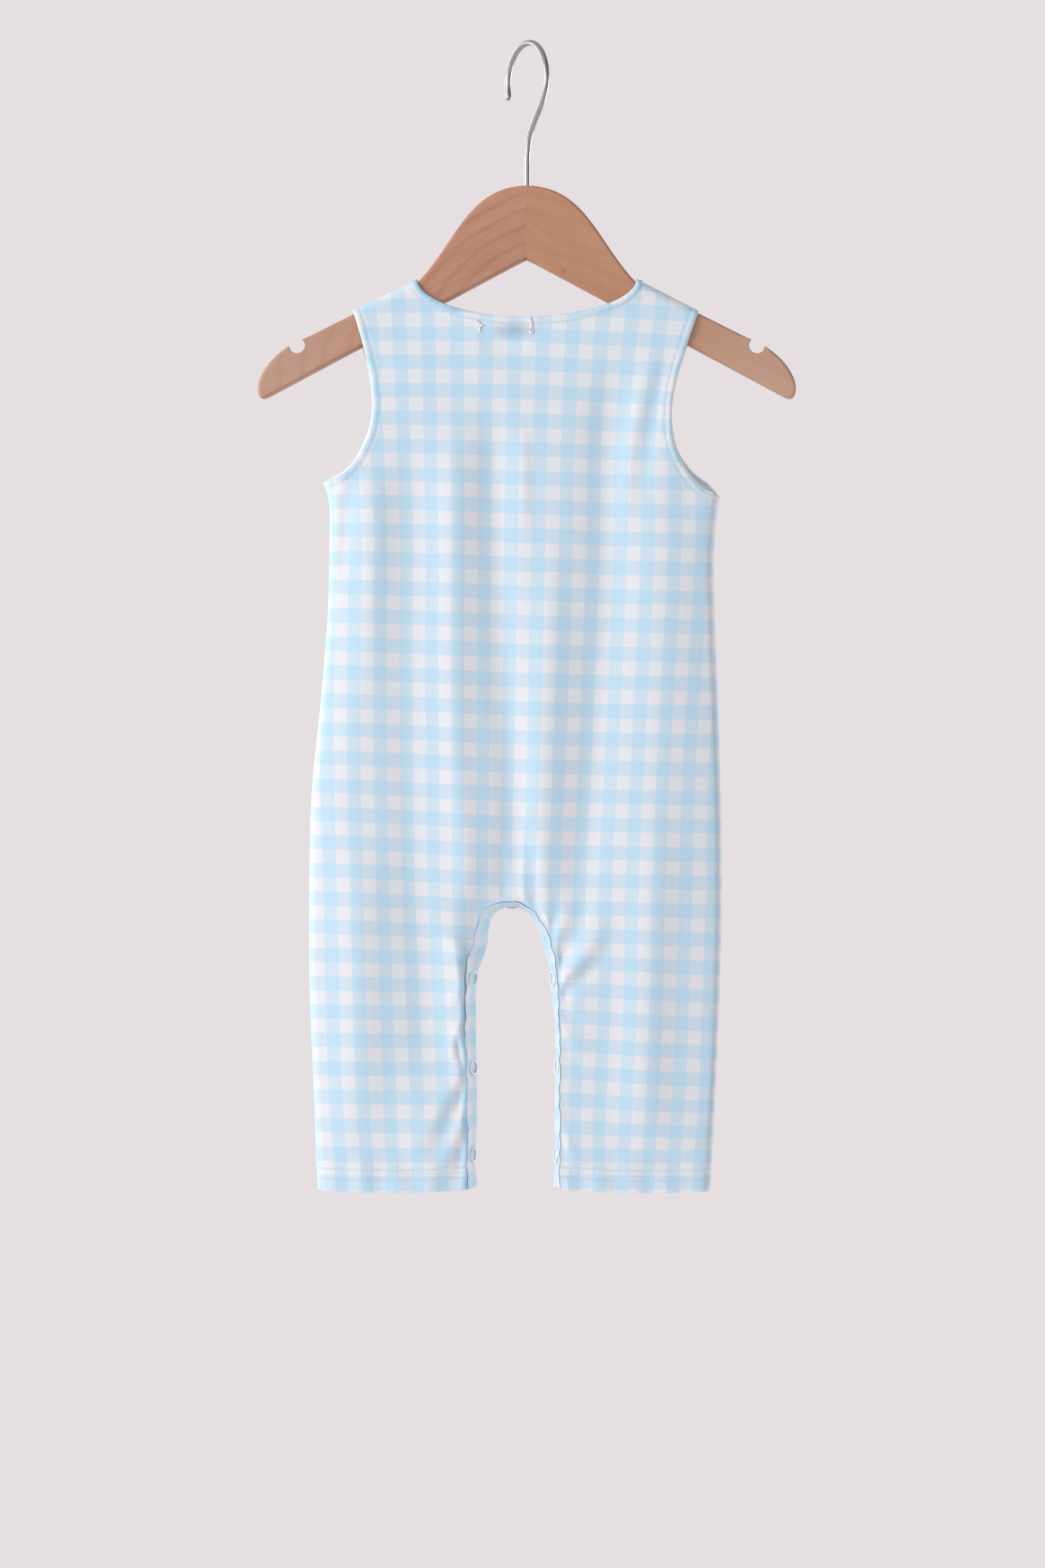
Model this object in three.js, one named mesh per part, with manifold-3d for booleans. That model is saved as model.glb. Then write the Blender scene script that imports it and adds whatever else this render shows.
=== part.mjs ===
// A baby's sleeveless one-piece (jon jon romper) of gingham knit, hanging on a small wooden hanger.
//
// Millimetres, +Z up. The origin is where a rail bears on the underside of the hook. The garment's
// back faces -Y and its front +Y; X runs along the hanger. Two cloth panels, front and back, are
// joined at the shoulders and the sides. From hem to hem round the crotch they are closed by two
// strips that lap, the front one outside, held by ring snaps.
//
// Cloth is first laid out in the XZ plane as its outline hangs. Its depth along Y is then worked out
// from how near each point is to the shoulders, the side seams and the inseam, and from the folds.

import * as THREE from 'three';
import { mergeVertices } from 'three/addons/utils/BufferGeometryUtils.js';
import Module from 'manifold-3d';

const wasm = await Module();
wasm.setup();

// ---------------------------------------------------------------------------------------------
// Driving dimensions
// ---------------------------------------------------------------------------------------------

const CLOTH_WALL = 1.0;
const SEAM_GAP = 0.3; // between two pieces that are sewn together
const LAP_GAP = 0.4; // between the two strips of the inseam
const TUCK_GAP = 0.5; // between the lap and the back panel's edge under it

const HANGER = {
  halfSpan: 156,
  thickness: 12,
  edgeRound: 2.5,
  top: -81.6,
  underApex: -123.6,
  underSlope: 0.5346, // fall of the lower edge for each mm outwards
  neck: { x: 63, z: -137.2 }, // where the crown meets the straight arm
  armEnd: { x: 136, z: -173.8 }, // outer end of the straight top edge
  tipRound: 8, // of the tip's lower corner
  notch: { x: 133.2, z: -174.1, radius: 4.6 },
};

const HOOK = {
  wire: 3.4,
  radius: 22.4, // of the bend's centreline
  turn: THREE.MathUtils.degToRad(30), // the hook's plane is turned this far from the YZ plane
  stemFoot: -98,
  boreClearance: 0.3,
};

const SNAP = {
  ringOuter: 4.5,
  ringInner: 2.9,
  ringThick: 0.8,
  pressRadius: 3.1,
  socketThick: 0.7,
  studThick: 0.4,
  fromHem: 18.5, // the last snap, measured along the inseam
  perLeg: 3,
};

// The wall that the two strips make between the back and the front of a leg.
const INSEAM_WALL = {
  backDepth: 9, // from the middle plane to the lap edge
  edgeDepth: -1.6, // the gap's edge, just in front of the middle plane
  frontDepth: -4.5, // the seam to the front panel
  frontSetBack: 1.5, // how far that seam lies behind the gap's edge
  tuck: 1.0, // how far the back panel runs on under the lap
};

// ---------------------------------------------------------------------------------------------
// The outline as it hangs, seen from the back
// ---------------------------------------------------------------------------------------------

const HALVES = {
  left: {
    neckPoint: { x: -64, z: -135.6 },
    shoulderTip: { x: -100.5, z: -153.4 },
    underarm: { x: -118, z: -253.5 },
    // Between the shoulder tip and the underarm.
    backArmhole: [
      { x: -94.5, z: -174 },
      { x: -89.5, z: -197 },
      { x: -89.3, z: -216 },
      { x: -94, z: -232 },
      { x: -103.5, z: -246.5 },
    ],
    frontArmhole: [
      { x: -95.3, z: -174 },
      { x: -90.3, z: -197 },
      { x: -90.2, z: -215 },
      { x: -95, z: -230.5 },
      { x: -104.5, z: -244.8 },
    ],
    // From just under the underarm to the hem.
    side: [
      { x: -115, z: -263 },
      { x: -114.6, z: -290 },
      { x: -115.4, z: -328 },
      { x: -119.5, z: -380 },
      { x: -124.6, z: -430 },
      { x: -126.2, z: -480 },
      { x: -126, z: -545 },
      { x: -123.8, z: -602 },
      { x: -121.4, z: -662.5 },
    ],
  },
  right: {
    neckPoint: { x: 64, z: -135.4 },
    shoulderTip: { x: 99.5, z: -153.6 },
    underarm: { x: 112, z: -261.5 },
    backArmhole: [
      { x: 92, z: -175 },
      { x: 85.8, z: -196 },
      { x: 83.5, z: -216 },
      { x: 85.6, z: -233.5 },
      { x: 93.5, z: -249 },
      { x: 104, z: -259.5 },
    ],
    frontArmhole: [
      { x: 92.6, z: -175 },
      { x: 86.4, z: -196 },
      { x: 84.2, z: -214 },
      { x: 87.4, z: -233.5 },
      { x: 96, z: -246.5 },
      { x: 106, z: -254.5 },
    ],
    side: [
      { x: 110.6, z: -270 },
      { x: 108.6, z: -300 },
      { x: 109.4, z: -340 },
      { x: 111.4, z: -393 },
      { x: 113, z: -455 },
      { x: 113, z: -510 },
      { x: 111, z: -575 },
      { x: 108.6, z: -625 },
      { x: 106.5, z: -663 },
    ],
  },
};

const NECK_BOTTOM = { back: { x: -1, z: -158 }, front: { x: -1, z: -184 } };

// The edge of the gap between the legs, from the left hem round the crotch to the right hem.
// lap is how far behind this edge the lap's free edge shows.
const INSEAM = [
  { x: -28.8, z: -661.5, lap: 4.2 },
  { x: -30, z: -646, lap: 3.8 },
  { x: -29.4, z: -636, lap: 4.3 },
  { x: -28.8, z: -615, lap: 5.2 },
  { x: -29.1, z: -588, lap: 5.2 },
  { x: -29.4, z: -560, lap: 5.9 },
  { x: -29.3, z: -545, lap: 5.4 },
  { x: -27.8, z: -535.5, lap: 6.9 },
  { x: -24.8, z: -527.5, lap: 7.7 },
  { x: -22.6, z: -519.5, lap: 7.4 },
  { x: -21.7, z: -510.5, lap: 6.3 },
  { x: -18.6, z: -503.4, lap: 4.9 },
  { x: -13.3, z: -500.1, lap: 3.3 },
  { x: -8.7, z: -499.8, lap: 2.9 },
  { x: -4.1, z: -500.1, lap: 2.7 },
  { x: 1.6, z: -503.2, lap: 2.5 },
  { x: 5.2, z: -509.6, lap: 3.3 },
  { x: 8.3, z: -518, lap: 4.4 },
  { x: 11.4, z: -528, lap: 4.3 },
  { x: 13.6, z: -538, lap: 3.5 },
  { x: 14, z: -546, lap: 3.8 },
  { x: 15, z: -556, lap: 2.8 },
  { x: 16.4, z: -568, lap: 2.4 },
  { x: 16.6, z: -585, lap: 2.3 },
  { x: 16.2, z: -610, lap: 2.6 },
  { x: 16, z: -639, lap: 3 },
  { x: 15.5, z: -661.5, lap: 3.1 },
];

const CROTCH_X = -8.7;

// Half the garment's depth, front or back, away from its edges.
const DEPTH = [
  { z: -135, half: 8.0 },
  { z: -185, half: 9.0 },
  { z: -220, half: 10.5 },
  { z: -260, half: 14 },
  { z: -320, half: 17.5 },
  { z: -400, half: 19.5 },
  { z: -470, half: 18.5 },
  { z: -530, half: 15.5 },
  { z: -600, half: 14 },
  { z: -665, half: 13.5 },
];

// How wide the cloth rounds over at the side seams.
const SIDE_ROUND = [
  { z: -255, left: 12, right: 13 },
  { z: -320, left: 20, right: 24 },
  { z: -430, left: 22, right: 27 },
  { z: -540, left: 20, right: 24 },
  { z: -665, left: 17, right: 20 },
];

const SHOULDER_CAP = { fall: 7, squareness: 2.6 }; // the cloth's round over the hanger's arm
const CROTCH_REACH = { leg: 14, body: 34, from: -560, to: -500 }; // how far the inseam pulls the cloth in

// Long soft folds. rise is outwards, so a trough's is negative.
const BACK_FOLDS = [
  { top: { x: -94, z: -262 }, middle: { x: -92, z: -400 }, foot: { x: -98, z: -640 }, rise: 1.3, width: 10 },
  { top: { x: -68, z: -215 }, middle: { x: -69, z: -400 }, foot: { x: -66, z: -620 }, rise: -1.9, width: 9 },
  { top: { x: -43, z: -225 }, middle: { x: -42, z: -400 }, foot: { x: -44, z: -560 }, rise: 1.6, width: 9 },
  { top: { x: -16, z: -205 }, middle: { x: -12, z: -400 }, foot: { x: -7, z: -486 }, rise: -2.1, width: 9 },
  { top: { x: 12, z: -225 }, middle: { x: 11, z: -400 }, foot: { x: 13, z: -495 }, rise: 1.5, width: 9 },
  { top: { x: 48, z: -185 }, middle: { x: 39, z: -400 }, foot: { x: 26, z: -530 }, rise: -2.2, width: 11 },
  { top: { x: 82, z: -230 }, middle: { x: 80, z: -400 }, foot: { x: 74, z: -640 }, rise: 1.5, width: 13 },
];
const FRONT_FOLDS = [
  { top: { x: -88, z: -240 }, middle: { x: -90, z: -400 }, foot: { x: -94, z: -600 }, rise: 1.4, width: 12 },
  { top: { x: -60, z: -200 }, middle: { x: -54, z: -400 }, foot: { x: -42, z: -540 }, rise: -2.0, width: 10 },
  { top: { x: -30, z: -230 }, middle: { x: -28, z: -400 }, foot: { x: -22, z: -490 }, rise: 1.4, width: 9 },
  { top: { x: -2, z: -215 }, middle: { x: -3, z: -400 }, foot: { x: -6, z: -484 }, rise: -1.8, width: 9 },
  { top: { x: 30, z: -220 }, middle: { x: 26, z: -400 }, foot: { x: 20, z: -500 }, rise: 1.5, width: 10 },
  { top: { x: 62, z: -195 }, middle: { x: 57, z: -400 }, foot: { x: 50, z: -600 }, rise: -1.9, width: 11 },
  { top: { x: 86, z: -250 }, middle: { x: 86, z: -400 }, foot: { x: 80, z: -640 }, rise: 1.3, width: 11 },
];

// How the panels' rows of points are shared out, from shoulder to hem. inner and outer give the
// stretch of each edge that the band covers: neckline, centre or inseam, and armhole or side.
const SHOULDER_BAND = 8; // along both edges, for the round over the hanger
const ROWS = { shoulder: 4, yoke: 5, chest: 6, body: 8, crotch: 10, leg: 6 };
const COLUMNS = { flat: 7, round: 4 };
const CHEST_CENTRE = -245; // where the row from the underarm meets the centre
const CROTCH_SIDE = -462; // where the row from the crotch meets the side
const LEG_START = { inseam: -541, side: -532 };

const COLOURS = {
  cloth: 0xbfdcf0,
  strip: 0xc7dff0,
  snap: 0xf4f4f2,
  wood: 0xb98a68,
  steel: 0xb9b4ae,
};

// ---------------------------------------------------------------------------------------------
// Small tools
// ---------------------------------------------------------------------------------------------

const { clamp, lerp, smoothstep } = THREE.MathUtils;

function tableAt(table, z, column) {
  for (let i = 1; i < table.length; i++) {
    const above = table[i - 1];
    const below = table[i];
    if (z >= below.z || i === table.length - 1) {
      const share = clamp((above.z - z) / (above.z - below.z), 0, 1);
      return lerp(above[column], below[column], share);
    }
  }
  return table[0][column];
}

// A smooth planar curve through points of the outline. Its Y holds the third column, if there is one.
function smoothCurve(points, third) {
  const vectors = points.map((p) => new THREE.Vector3(p.x, third ? p[third] : 0, p.z));
  const curve = new THREE.CatmullRomCurve3(vectors, false, 'centripetal');
  curve.arcLengthDivisions = 400;
  return curve;
}

// The share of a curve's length at which it first comes down to a height.
function shareAtHeight(curve, z, from = 0, to = 1) {
  const steps = 400;
  for (let i = 0; i <= steps; i++) {
    const share = lerp(from, to, i / steps);
    if (curve.getPointAt(share).z <= z) return share;
  }
  return to;
}

function distanceToSegment(x, z, a, b) {
  const along = clamp(
    ((x - a.x) * (b.x - a.x) + (z - a.z) * (b.z - a.z)) / ((b.x - a.x) ** 2 + (b.z - a.z) ** 2),
    0,
    1,
  );
  return Math.hypot(x - lerp(a.x, b.x, along), z - lerp(a.z, b.z, along));
}

function distanceToLine(x, z, line) {
  let nearest = Infinity;
  for (let i = 1; i < line.length; i++) {
    nearest = Math.min(nearest, distanceToSegment(x, z, line[i - 1], line[i]));
  }
  return nearest;
}

// 0 at an edge, rising as a quarter round to 1 at the given width.
function quarterRound(distance, width, squareness = 2) {
  const left = clamp(1 - distance / width, 0, 1);
  return Math.pow(1 - Math.pow(left, squareness), 1 / squareness);
}

function solidOf(geometry) {
  const bare = geometry.clone();
  bare.deleteAttribute('normal');
  bare.deleteAttribute('uv');
  const merged = mergeVertices(bare, 1e-3);
  const triangles = [];
  for (let i = 0; i < merged.index.count; i += 3) {
    const face = [0, 1, 2].map((k) => merged.index.getX(i + k));
    if (new Set(face).size === 3) triangles.push(...face);
  }
  return new wasm.Manifold(
    new wasm.Mesh({
      numProp: 3,
      vertProperties: merged.attributes.position.array,
      triVerts: new Uint32Array(triangles),
    }),
  );
}

function geometryOf(solid) {
  const mesh = solid.getMesh();
  const geometry = new THREE.BufferGeometry();
  geometry.setAttribute('position', new THREE.BufferAttribute(mesh.vertProperties, 3));
  geometry.setIndex(new THREE.BufferAttribute(mesh.triVerts, 1));
  return geometry;
}

const model = new THREE.Group();

function addPiece(name, geometry, colour, roughness, metalness = 0) {
  const material = new THREE.MeshStandardMaterial({ color: colour, roughness, metalness });
  const mesh = new THREE.Mesh(geometry, material);
  mesh.name = name;
  model.add(mesh);
  return mesh;
}

// ---------------------------------------------------------------------------------------------
// Cloth as a wall: quads of its outer face, given a second face one wall inside and closed rims
// ---------------------------------------------------------------------------------------------

// quads is a list of four THREE.Vector3 each, turning anticlockwise as seen from outside.
function clothWall(quads) {
  const points = [];
  const numbers = new Map();
  const numberOf = (p) => {
    const key = [p.x, p.y, p.z].map((value) => Math.round(value * 100)).join();
    if (!numbers.has(key)) {
      numbers.set(key, points.length);
      points.push(p.clone());
    }
    return numbers.get(key);
  };
  const faces = [];
  for (const quad of quads) {
    const [a, b, c, d] = quad.map(numberOf);
    for (const face of [[a, b, c], [a, c, d]]) {
      if (new Set(face).size === 3) faces.push(face);
    }
  }

  const normals = points.map(() => new THREE.Vector3());
  const edges = new Map();
  for (const face of faces) {
    const [a, b, c] = face.map((i) => points[i]);
    const normal = b.clone().sub(a).cross(c.clone().sub(a));
    face.forEach((i) => normals[i].add(normal));
    face.forEach((from, k) => edges.set(`${from}_${face[(k + 1) % 3]}`, [from, face[(k + 1) % 3]]));
  }

  const inner = points.map((p, i) => {
    const normal = normals[i];
    if (Math.abs(p.y) < 2 * SEAM_GAP) normal.y = 0; // square to the seam, so both sides clear it
    return p.clone().addScaledVector(normal.normalize(), -CLOTH_WALL);
  });

  const shift = points.length;
  const triangles = [...faces];
  for (const [a, b, c] of faces) triangles.push([a + shift, c + shift, b + shift]);
  for (const [from, to] of edges.values()) {
    if (edges.has(`${to}_${from}`)) continue;
    triangles.push([to, from, from + shift], [to, from + shift, to + shift]);
  }

  const positions = [...points, ...inner].flatMap((p) => [p.x, p.y, p.z]);
  const geometry = new THREE.BufferGeometry();
  geometry.setAttribute('position', new THREE.Float32BufferAttribute(positions, 3));
  geometry.setIndex(triangles.flat());
  geometry.computeVertexNormals();
  return geometry;
}

// Quads of a sheet given as rows of points. flipped turns its outer face round.
function sheetQuads(rows, flipped) {
  const quads = [];
  for (let i = 1; i < rows.length; i++) {
    for (let j = 1; j < rows[i].length; j++) {
      const quad = [rows[i - 1][j - 1], rows[i][j - 1], rows[i][j], rows[i - 1][j]];
      quads.push(flipped ? quad.reverse() : quad);
    }
  }
  return quads;
}

// ---------------------------------------------------------------------------------------------
// The inseam: a planar path with the two lapping strips as its cross-section
// ---------------------------------------------------------------------------------------------

const inseamPath = smoothCurve(INSEAM, 'lap');
const inseamLength = inseamPath.getLength();

// The share of the path's length at the top of the crotch, where both legs' rows begin.
const crotchShare = (() => {
  let share = 0;
  while (inseamPath.getPointAt(share).x < CROTCH_X) share += 1 / 2000;
  return share;
})();

// The path's point, its lap, and the direction into the gap between the legs.
function inseamFrame(share) {
  const step = 0.004;
  const point = inseamPath.getPointAt(share);
  const before = inseamPath.getPointAt(Math.max(0, share - step));
  const after = inseamPath.getPointAt(Math.min(1, share + step));
  const along = new THREE.Vector3(after.x - before.x, 0, after.z - before.z).normalize();
  return {
    x: point.x,
    z: point.z,
    lap: point.y,
    along,
    intoGap: new THREE.Vector3(along.z, 0, -along.x),
  };
}

// Where each leg's own rows begin.
const legShares = {
  left: shareAtHeight(inseamPath, LEG_START.inseam, crotchShare, 0),
  right: shareAtHeight(inseamPath, LEG_START.inseam, crotchShare, 1),
};

// A point of the inseam's cross-section: out is towards the gap, and back towards -Y.
function inseamPoint(frame, out, back) {
  return new THREE.Vector3(frame.x, 0, frame.z)
    .addScaledVector(frame.intoGap, out)
    .setY(-back);
}

// The strips' shared section, from the lap edge at 0 to the gap's edge at 1 and the front seam at 2.
// under is how far inside the outer face the point lies.
function stripSection(frame, place, under = 0) {
  const { backDepth, edgeDepth, frontDepth, frontSetBack } = INSEAM_WALL;
  const slant = new THREE.Vector2(frame.lap, backDepth - edgeDepth).normalize();
  const turn = new THREE.Vector2(-frontSetBack, edgeDepth - frontDepth).normalize();
  const first = clamp(place, 0, 1);
  const second = clamp(place - 1, 0, 1);
  const out = -frame.lap * (1 - first) - frontSetBack * second;
  const back = lerp(lerp(backDepth, edgeDepth, first), frontDepth, second);
  // Outward normals of the slanted wall and of its turn to the front, eased at the corner.
  const ease = smoothstep(place, 0.75, 1.6);
  const normal = new THREE.Vector2(lerp(slant.y, turn.y, ease), lerp(slant.x, turn.x, ease)).normalize();
  return inseamPoint(frame, out - normal.x * under, back - normal.y * under);
}

function slantLength(frame) {
  return Math.hypot(frame.lap, INSEAM_WALL.backDepth - INSEAM_WALL.edgeDepth);
}

const snapShares = (() => {
  const shares = [crotchShare];
  for (let i = 0; i < SNAP.perLeg; i++) {
    const step = i / SNAP.perLeg;
    shares.push(lerp(SNAP.fromHem / inseamLength, crotchShare, step));
    shares.push(lerp(1 - SNAP.fromHem / inseamLength, crotchShare, step));
  }
  return shares.sort((a, b) => a - b);
})();

// How far the under strip is pressed in at a share of the path, to make room for the snaps.
function snapPress(share) {
  const room = SNAP.socketThick + SNAP.studThick + 4 * SEAM_GAP - LAP_GAP;
  const nearest = Math.min(...snapShares.map((s) => Math.abs(s - share))) * inseamLength;
  return room * (1 - smoothstep(nearest, SNAP.ringOuter + 0.6, SNAP.ringOuter + 7));
}

// ---------------------------------------------------------------------------------------------
// Depth of the panels
// ---------------------------------------------------------------------------------------------

const LINE_STEPS = 60;
const sideLines = {};
for (const [name, half] of Object.entries(HALVES)) {
  sideLines[name] = smoothCurve([half.underarm, ...half.side]).getSpacedPoints(LINE_STEPS);
}
const inseamFrames = [];
for (let i = 0; i <= 2 * LINE_STEPS; i++) {
  inseamFrames.push(inseamFrame(i / (2 * LINE_STEPS)));
}

function nearInseam(x, z) {
  let nearest = { distance: Infinity };
  for (let i = 1; i < inseamFrames.length; i++) {
    const distance = distanceToSegment(x, z, inseamFrames[i - 1], inseamFrames[i]);
    if (distance < nearest.distance) nearest = { distance, frame: inseamFrames[i] };
  }
  return nearest;
}

function foldHeight(folds, x, z) {
  let height = 0;
  for (const { top, middle, foot, rise, width } of folds) {
    const upper = z > middle.z;
    const share = upper ? (z - middle.z) / (top.z - middle.z) : (z - middle.z) / (foot.z - middle.z);
    const centre = lerp(middle.x, (upper ? top : foot).x, share);
    const fade = 1 - smoothstep(share, 0.35, 1.05);
    height += rise * fade * Math.exp(-(((x - centre) / width) ** 2));
  }
  return height;
}

// How far a panel lies from the middle plane. isBack picks the panel.
function panelDepth(x, z, isBack) {
  const side = x < 0 ? 'left' : 'right';
  const sideShare = quarterRound(distanceToLine(x, z, sideLines[side]), tableAt(SIDE_ROUND, z, side));
  const { neckPoint, shoulderTip } = HALVES[side];
  const capDistance = distanceToSegment(x, z, neckPoint, shoulderTip);
  const capShare = quarterRound(capDistance, SHOULDER_CAP.fall, SHOULDER_CAP.squareness);
  const open = tableAt(DEPTH, z, 'half') * sideShare * capShare;

  const near = nearInseam(x, z);
  const { backDepth, frontDepth, frontSetBack } = INSEAM_WALL;
  const setBack = isBack ? near.frame.lap + CLOTH_WALL : frontSetBack;
  const wallDepth = isBack ? backDepth - (CLOTH_WALL + TUCK_GAP) / 2 : -frontDepth;
  const reach = lerp(
    CROTCH_REACH.leg,
    CROTCH_REACH.body,
    smoothstep(near.frame.z, CROTCH_REACH.from, CROTCH_REACH.to),
  );
  const pull = clamp(1 - (near.distance - setBack) / reach, 0, 1) ** 2;
  const folds = foldHeight(isBack ? BACK_FOLDS : FRONT_FOLDS, x, z);
  const depth = lerp(open, Math.min(wallDepth, open), pull);
  return SEAM_GAP / 2 + depth + folds * sideShare * capShare * (1 - pull);
}

// ---------------------------------------------------------------------------------------------
// A panel: its two halves as rows from the neckline, centre or inseam out to the armhole or side
// ---------------------------------------------------------------------------------------------

// The inseam edge of a panel in the XZ plane.
function panelInseamEdge(share, isBack) {
  const frame = inseamFrame(share);
  if (!isBack) {
    const edge = stripSection(frame, 2);
    const gap = 2 * SEAM_GAP;
    return { frame, x: edge.x - frame.intoGap.x * gap, z: edge.z - frame.intoGap.z * gap };
  }
  const edge = stripSection(frame, 0, CLOTH_WALL + TUCK_GAP);
  return { frame, x: edge.x, z: edge.z };
}

function necklineCurve(half, isBack) {
  const { neckPoint } = half;
  const bottom = isBack ? NECK_BOTTOM.back : NECK_BOTTOM.front;
  const points = [];
  const steps = 10;
  for (let i = 0; i <= steps; i++) {
    const angle = (i / steps) * (Math.PI / 2);
    points.push({
      x: lerp(bottom.x, neckPoint.x, Math.cos(angle)),
      z: lerp(neckPoint.z, bottom.z, Math.sin(angle)),
    });
  }
  return smoothCurve(points);
}

// The rows of one half panel, as pairs of end points: the inner one and the outer one.
function halfRows(name, isBack) {
  const half = HALVES[name];
  const neckline = necklineCurve(half, isBack);
  const armholePoints = isBack ? half.backArmhole : half.frontArmhole;
  const armhole = smoothCurve([half.shoulderTip, ...armholePoints, half.underarm]);
  const side = smoothCurve([half.underarm, ...half.side]);
  const neckBottom = isBack ? NECK_BOTTOM.back : NECK_BOTTOM.front;
  const hemShare = name === 'left' ? 0 : 1;
  const legShare = legShares[name];
  const crotchTop = panelInseamEdge(crotchShare, isBack);

  const onCurve = (curve, from, to) => (t) => curve.getPointAt(lerp(from, to, t));
  const onCentre = (from, to) => (t) =>
    t === 1 ? to : { x: lerp(from.x, to.x, t), z: lerp(from.z, to.z, t) };
  const onInseam = (from, to) => (t) => panelInseamEdge(lerp(from, to, t), isBack);

  const neckCap = SHOULDER_BAND / neckline.getLength();
  const armCap = SHOULDER_BAND / armhole.getLength();
  const yokeEnd = isBack ? 0.34 : 0.5; // of the armhole, for the row from the neckline's lowest point
  const chestX = lerp(neckBottom.x, crotchTop.x, 0.25);
  const chestCentre = { x: chestX, z: CHEST_CENTRE };
  const crotchSide = shareAtHeight(side, CROTCH_SIDE);
  const legSide = shareAtHeight(side, LEG_START.side);

  const bands = [
    { rows: ROWS.shoulder, inner: onCurve(neckline, 0, neckCap), outer: onCurve(armhole, 0, armCap), round: true },
    { rows: ROWS.yoke, inner: onCurve(neckline, neckCap, 1), outer: onCurve(armhole, armCap, yokeEnd) },
    { rows: ROWS.chest, inner: onCentre(neckBottom, chestCentre), outer: onCurve(armhole, yokeEnd, 1) },
    { rows: ROWS.body, inner: onCentre(chestCentre, crotchTop), outer: onCurve(side, 0, crotchSide) },
    { rows: ROWS.crotch, inner: onInseam(crotchShare, legShare), outer: onCurve(side, crotchSide, legSide) },
    { rows: ROWS.leg, inner: onInseam(legShare, hemShare), outer: onCurve(side, legSide, 1) },
  ];

  const rows = [];
  bands.forEach((band, number) => {
    for (let i = number === 0 ? 0 : 1; i <= band.rows; i++) {
      const even = i / band.rows;
      const t = band.round ? 1 - Math.cos((even * Math.PI) / 2) : even;
      rows.push({ inner: band.inner(t), outer: band.outer(t) });
    }
  });
  return rows;
}

// Shares along a row, from its inner end at 0 to its outer end at 1, closer where the side rounds.
function columnShares(row, sideName) {
  const { inner, outer } = row;
  const width = Math.hypot(outer.x - inner.x, outer.z - inner.z);
  const underarm = HALVES[sideName].underarm.z;
  const belowArm = smoothstep(-outer.z, -underarm - 60, -underarm);
  const round = tableAt(SIDE_ROUND, outer.z, sideName);
  const shares = [];
  for (let j = 0; j < COLUMNS.flat; j++) {
    shares.push((j / COLUMNS.flat) * (1 - round / width));
  }
  for (let j = COLUMNS.round; j >= 0; j--) {
    const even = j / COLUMNS.round;
    const rounded = 1 - Math.cos((even * Math.PI) / 2);
    shares.push(1 - (round / width) * lerp(even, rounded, belowArm));
  }
  return shares;
}

function panelGeometry(isBack) {
  const outward = isBack ? -1 : 1;
  const quads = [];
  for (const name of ['left', 'right']) {
    const rows = halfRows(name, isBack);
    const grid = rows.map((row) =>
      columnShares(row, name).map((share) => {
        const x = lerp(row.inner.x, row.outer.x, share);
        const z = lerp(row.inner.z, row.outer.z, share);
        return new THREE.Vector3(x, outward * panelDepth(x, z, isBack), z);
      }),
    );
    if (isBack) tuckUnderLap(grid, rows);
    quads.push(...sheetQuads(grid, (name === 'left') === isBack));
    if (isBack) quads.push(...tuckQuads(grid, rows, name === 'left'));
  }
  return clothWall(quads);
}

// The back panel's inseam edge lies just inside the lap's edge.
function tuckUnderLap(grid, rows) {
  rows.forEach((row, i) => {
    if (row.inner.frame) grid[i][0] = stripSection(row.inner.frame, 0, CLOTH_WALL + TUCK_GAP);
  });
}

// One more quad for each row of the crotch and leg, on under the lap.
function tuckQuads(grid, rows, flipped) {
  const tucks = [];
  rows.forEach((row, i) => {
    const frame = row.inner.frame;
    if (!frame) return;
    const place = INSEAM_WALL.tuck / slantLength(frame);
    tucks.push([stripSection(frame, place, CLOTH_WALL + TUCK_GAP), grid[i][0]]);
  });
  return sheetQuads(tucks, flipped);
}

addPiece('back_panel', panelGeometry(true), COLOURS.cloth, 0.85);
addPiece('front_panel', panelGeometry(false), COLOURS.cloth, 0.85);

// ---------------------------------------------------------------------------------------------
// The two strips of the inseam
// ---------------------------------------------------------------------------------------------

const STRIP_ROWS_PER_ROW = 3; // along the legs, for each row of the panels

// The strips' stations fall on the panels' rows, so their edges run alike.
const stripShares = (() => {
  const steps = (from, to, count) => Array.from({ length: count }, (_, i) => lerp(from, to, i / count));
  return [
    ...steps(0, legShares.left, ROWS.leg * STRIP_ROWS_PER_ROW),
    ...steps(legShares.left, crotchShare, ROWS.crotch),
    ...steps(crotchShare, legShares.right, ROWS.crotch),
    ...steps(legShares.right, 1, ROWS.leg * STRIP_ROWS_PER_ROW),
    1,
  ];
})();

function stripGeometry(places, under) {
  const rows = stripShares.map((share) => {
    const frame = inseamFrame(share);
    return places(frame).map((place) => stripSection(frame, place, under(share, place)));
  });
  return clothWall(sheetQuads(rows, true));
}

// The outer strip, sewn to the front panel.
addPiece(
  'front_placket',
  stripGeometry(() => [0, 0.5, 1, 2], () => 0),
  COLOURS.strip,
  0.85,
);

// The strip under it, sewn to the back panel where that ends under the lap.
addPiece(
  'back_placket',
  stripGeometry(
    (frame) => {
      const start = (INSEAM_WALL.tuck + SEAM_GAP) / slantLength(frame);
      return [start, start + 0.05, 0.3, 0.95, 1.15];
    },
    (share, place) => {
      const inMiddle = smoothstep(place, 0.24, 0.28) * (1 - smoothstep(place, 1, 1.3));
      return CLOTH_WALL + LAP_GAP + snapPress(share) * inMiddle;
    },
  ),
  COLOURS.strip,
  0.85,
);

// ---------------------------------------------------------------------------------------------
// Ring snaps: outer ring, socket, stud and inner ring, one above the other through both strips
// ---------------------------------------------------------------------------------------------

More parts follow.
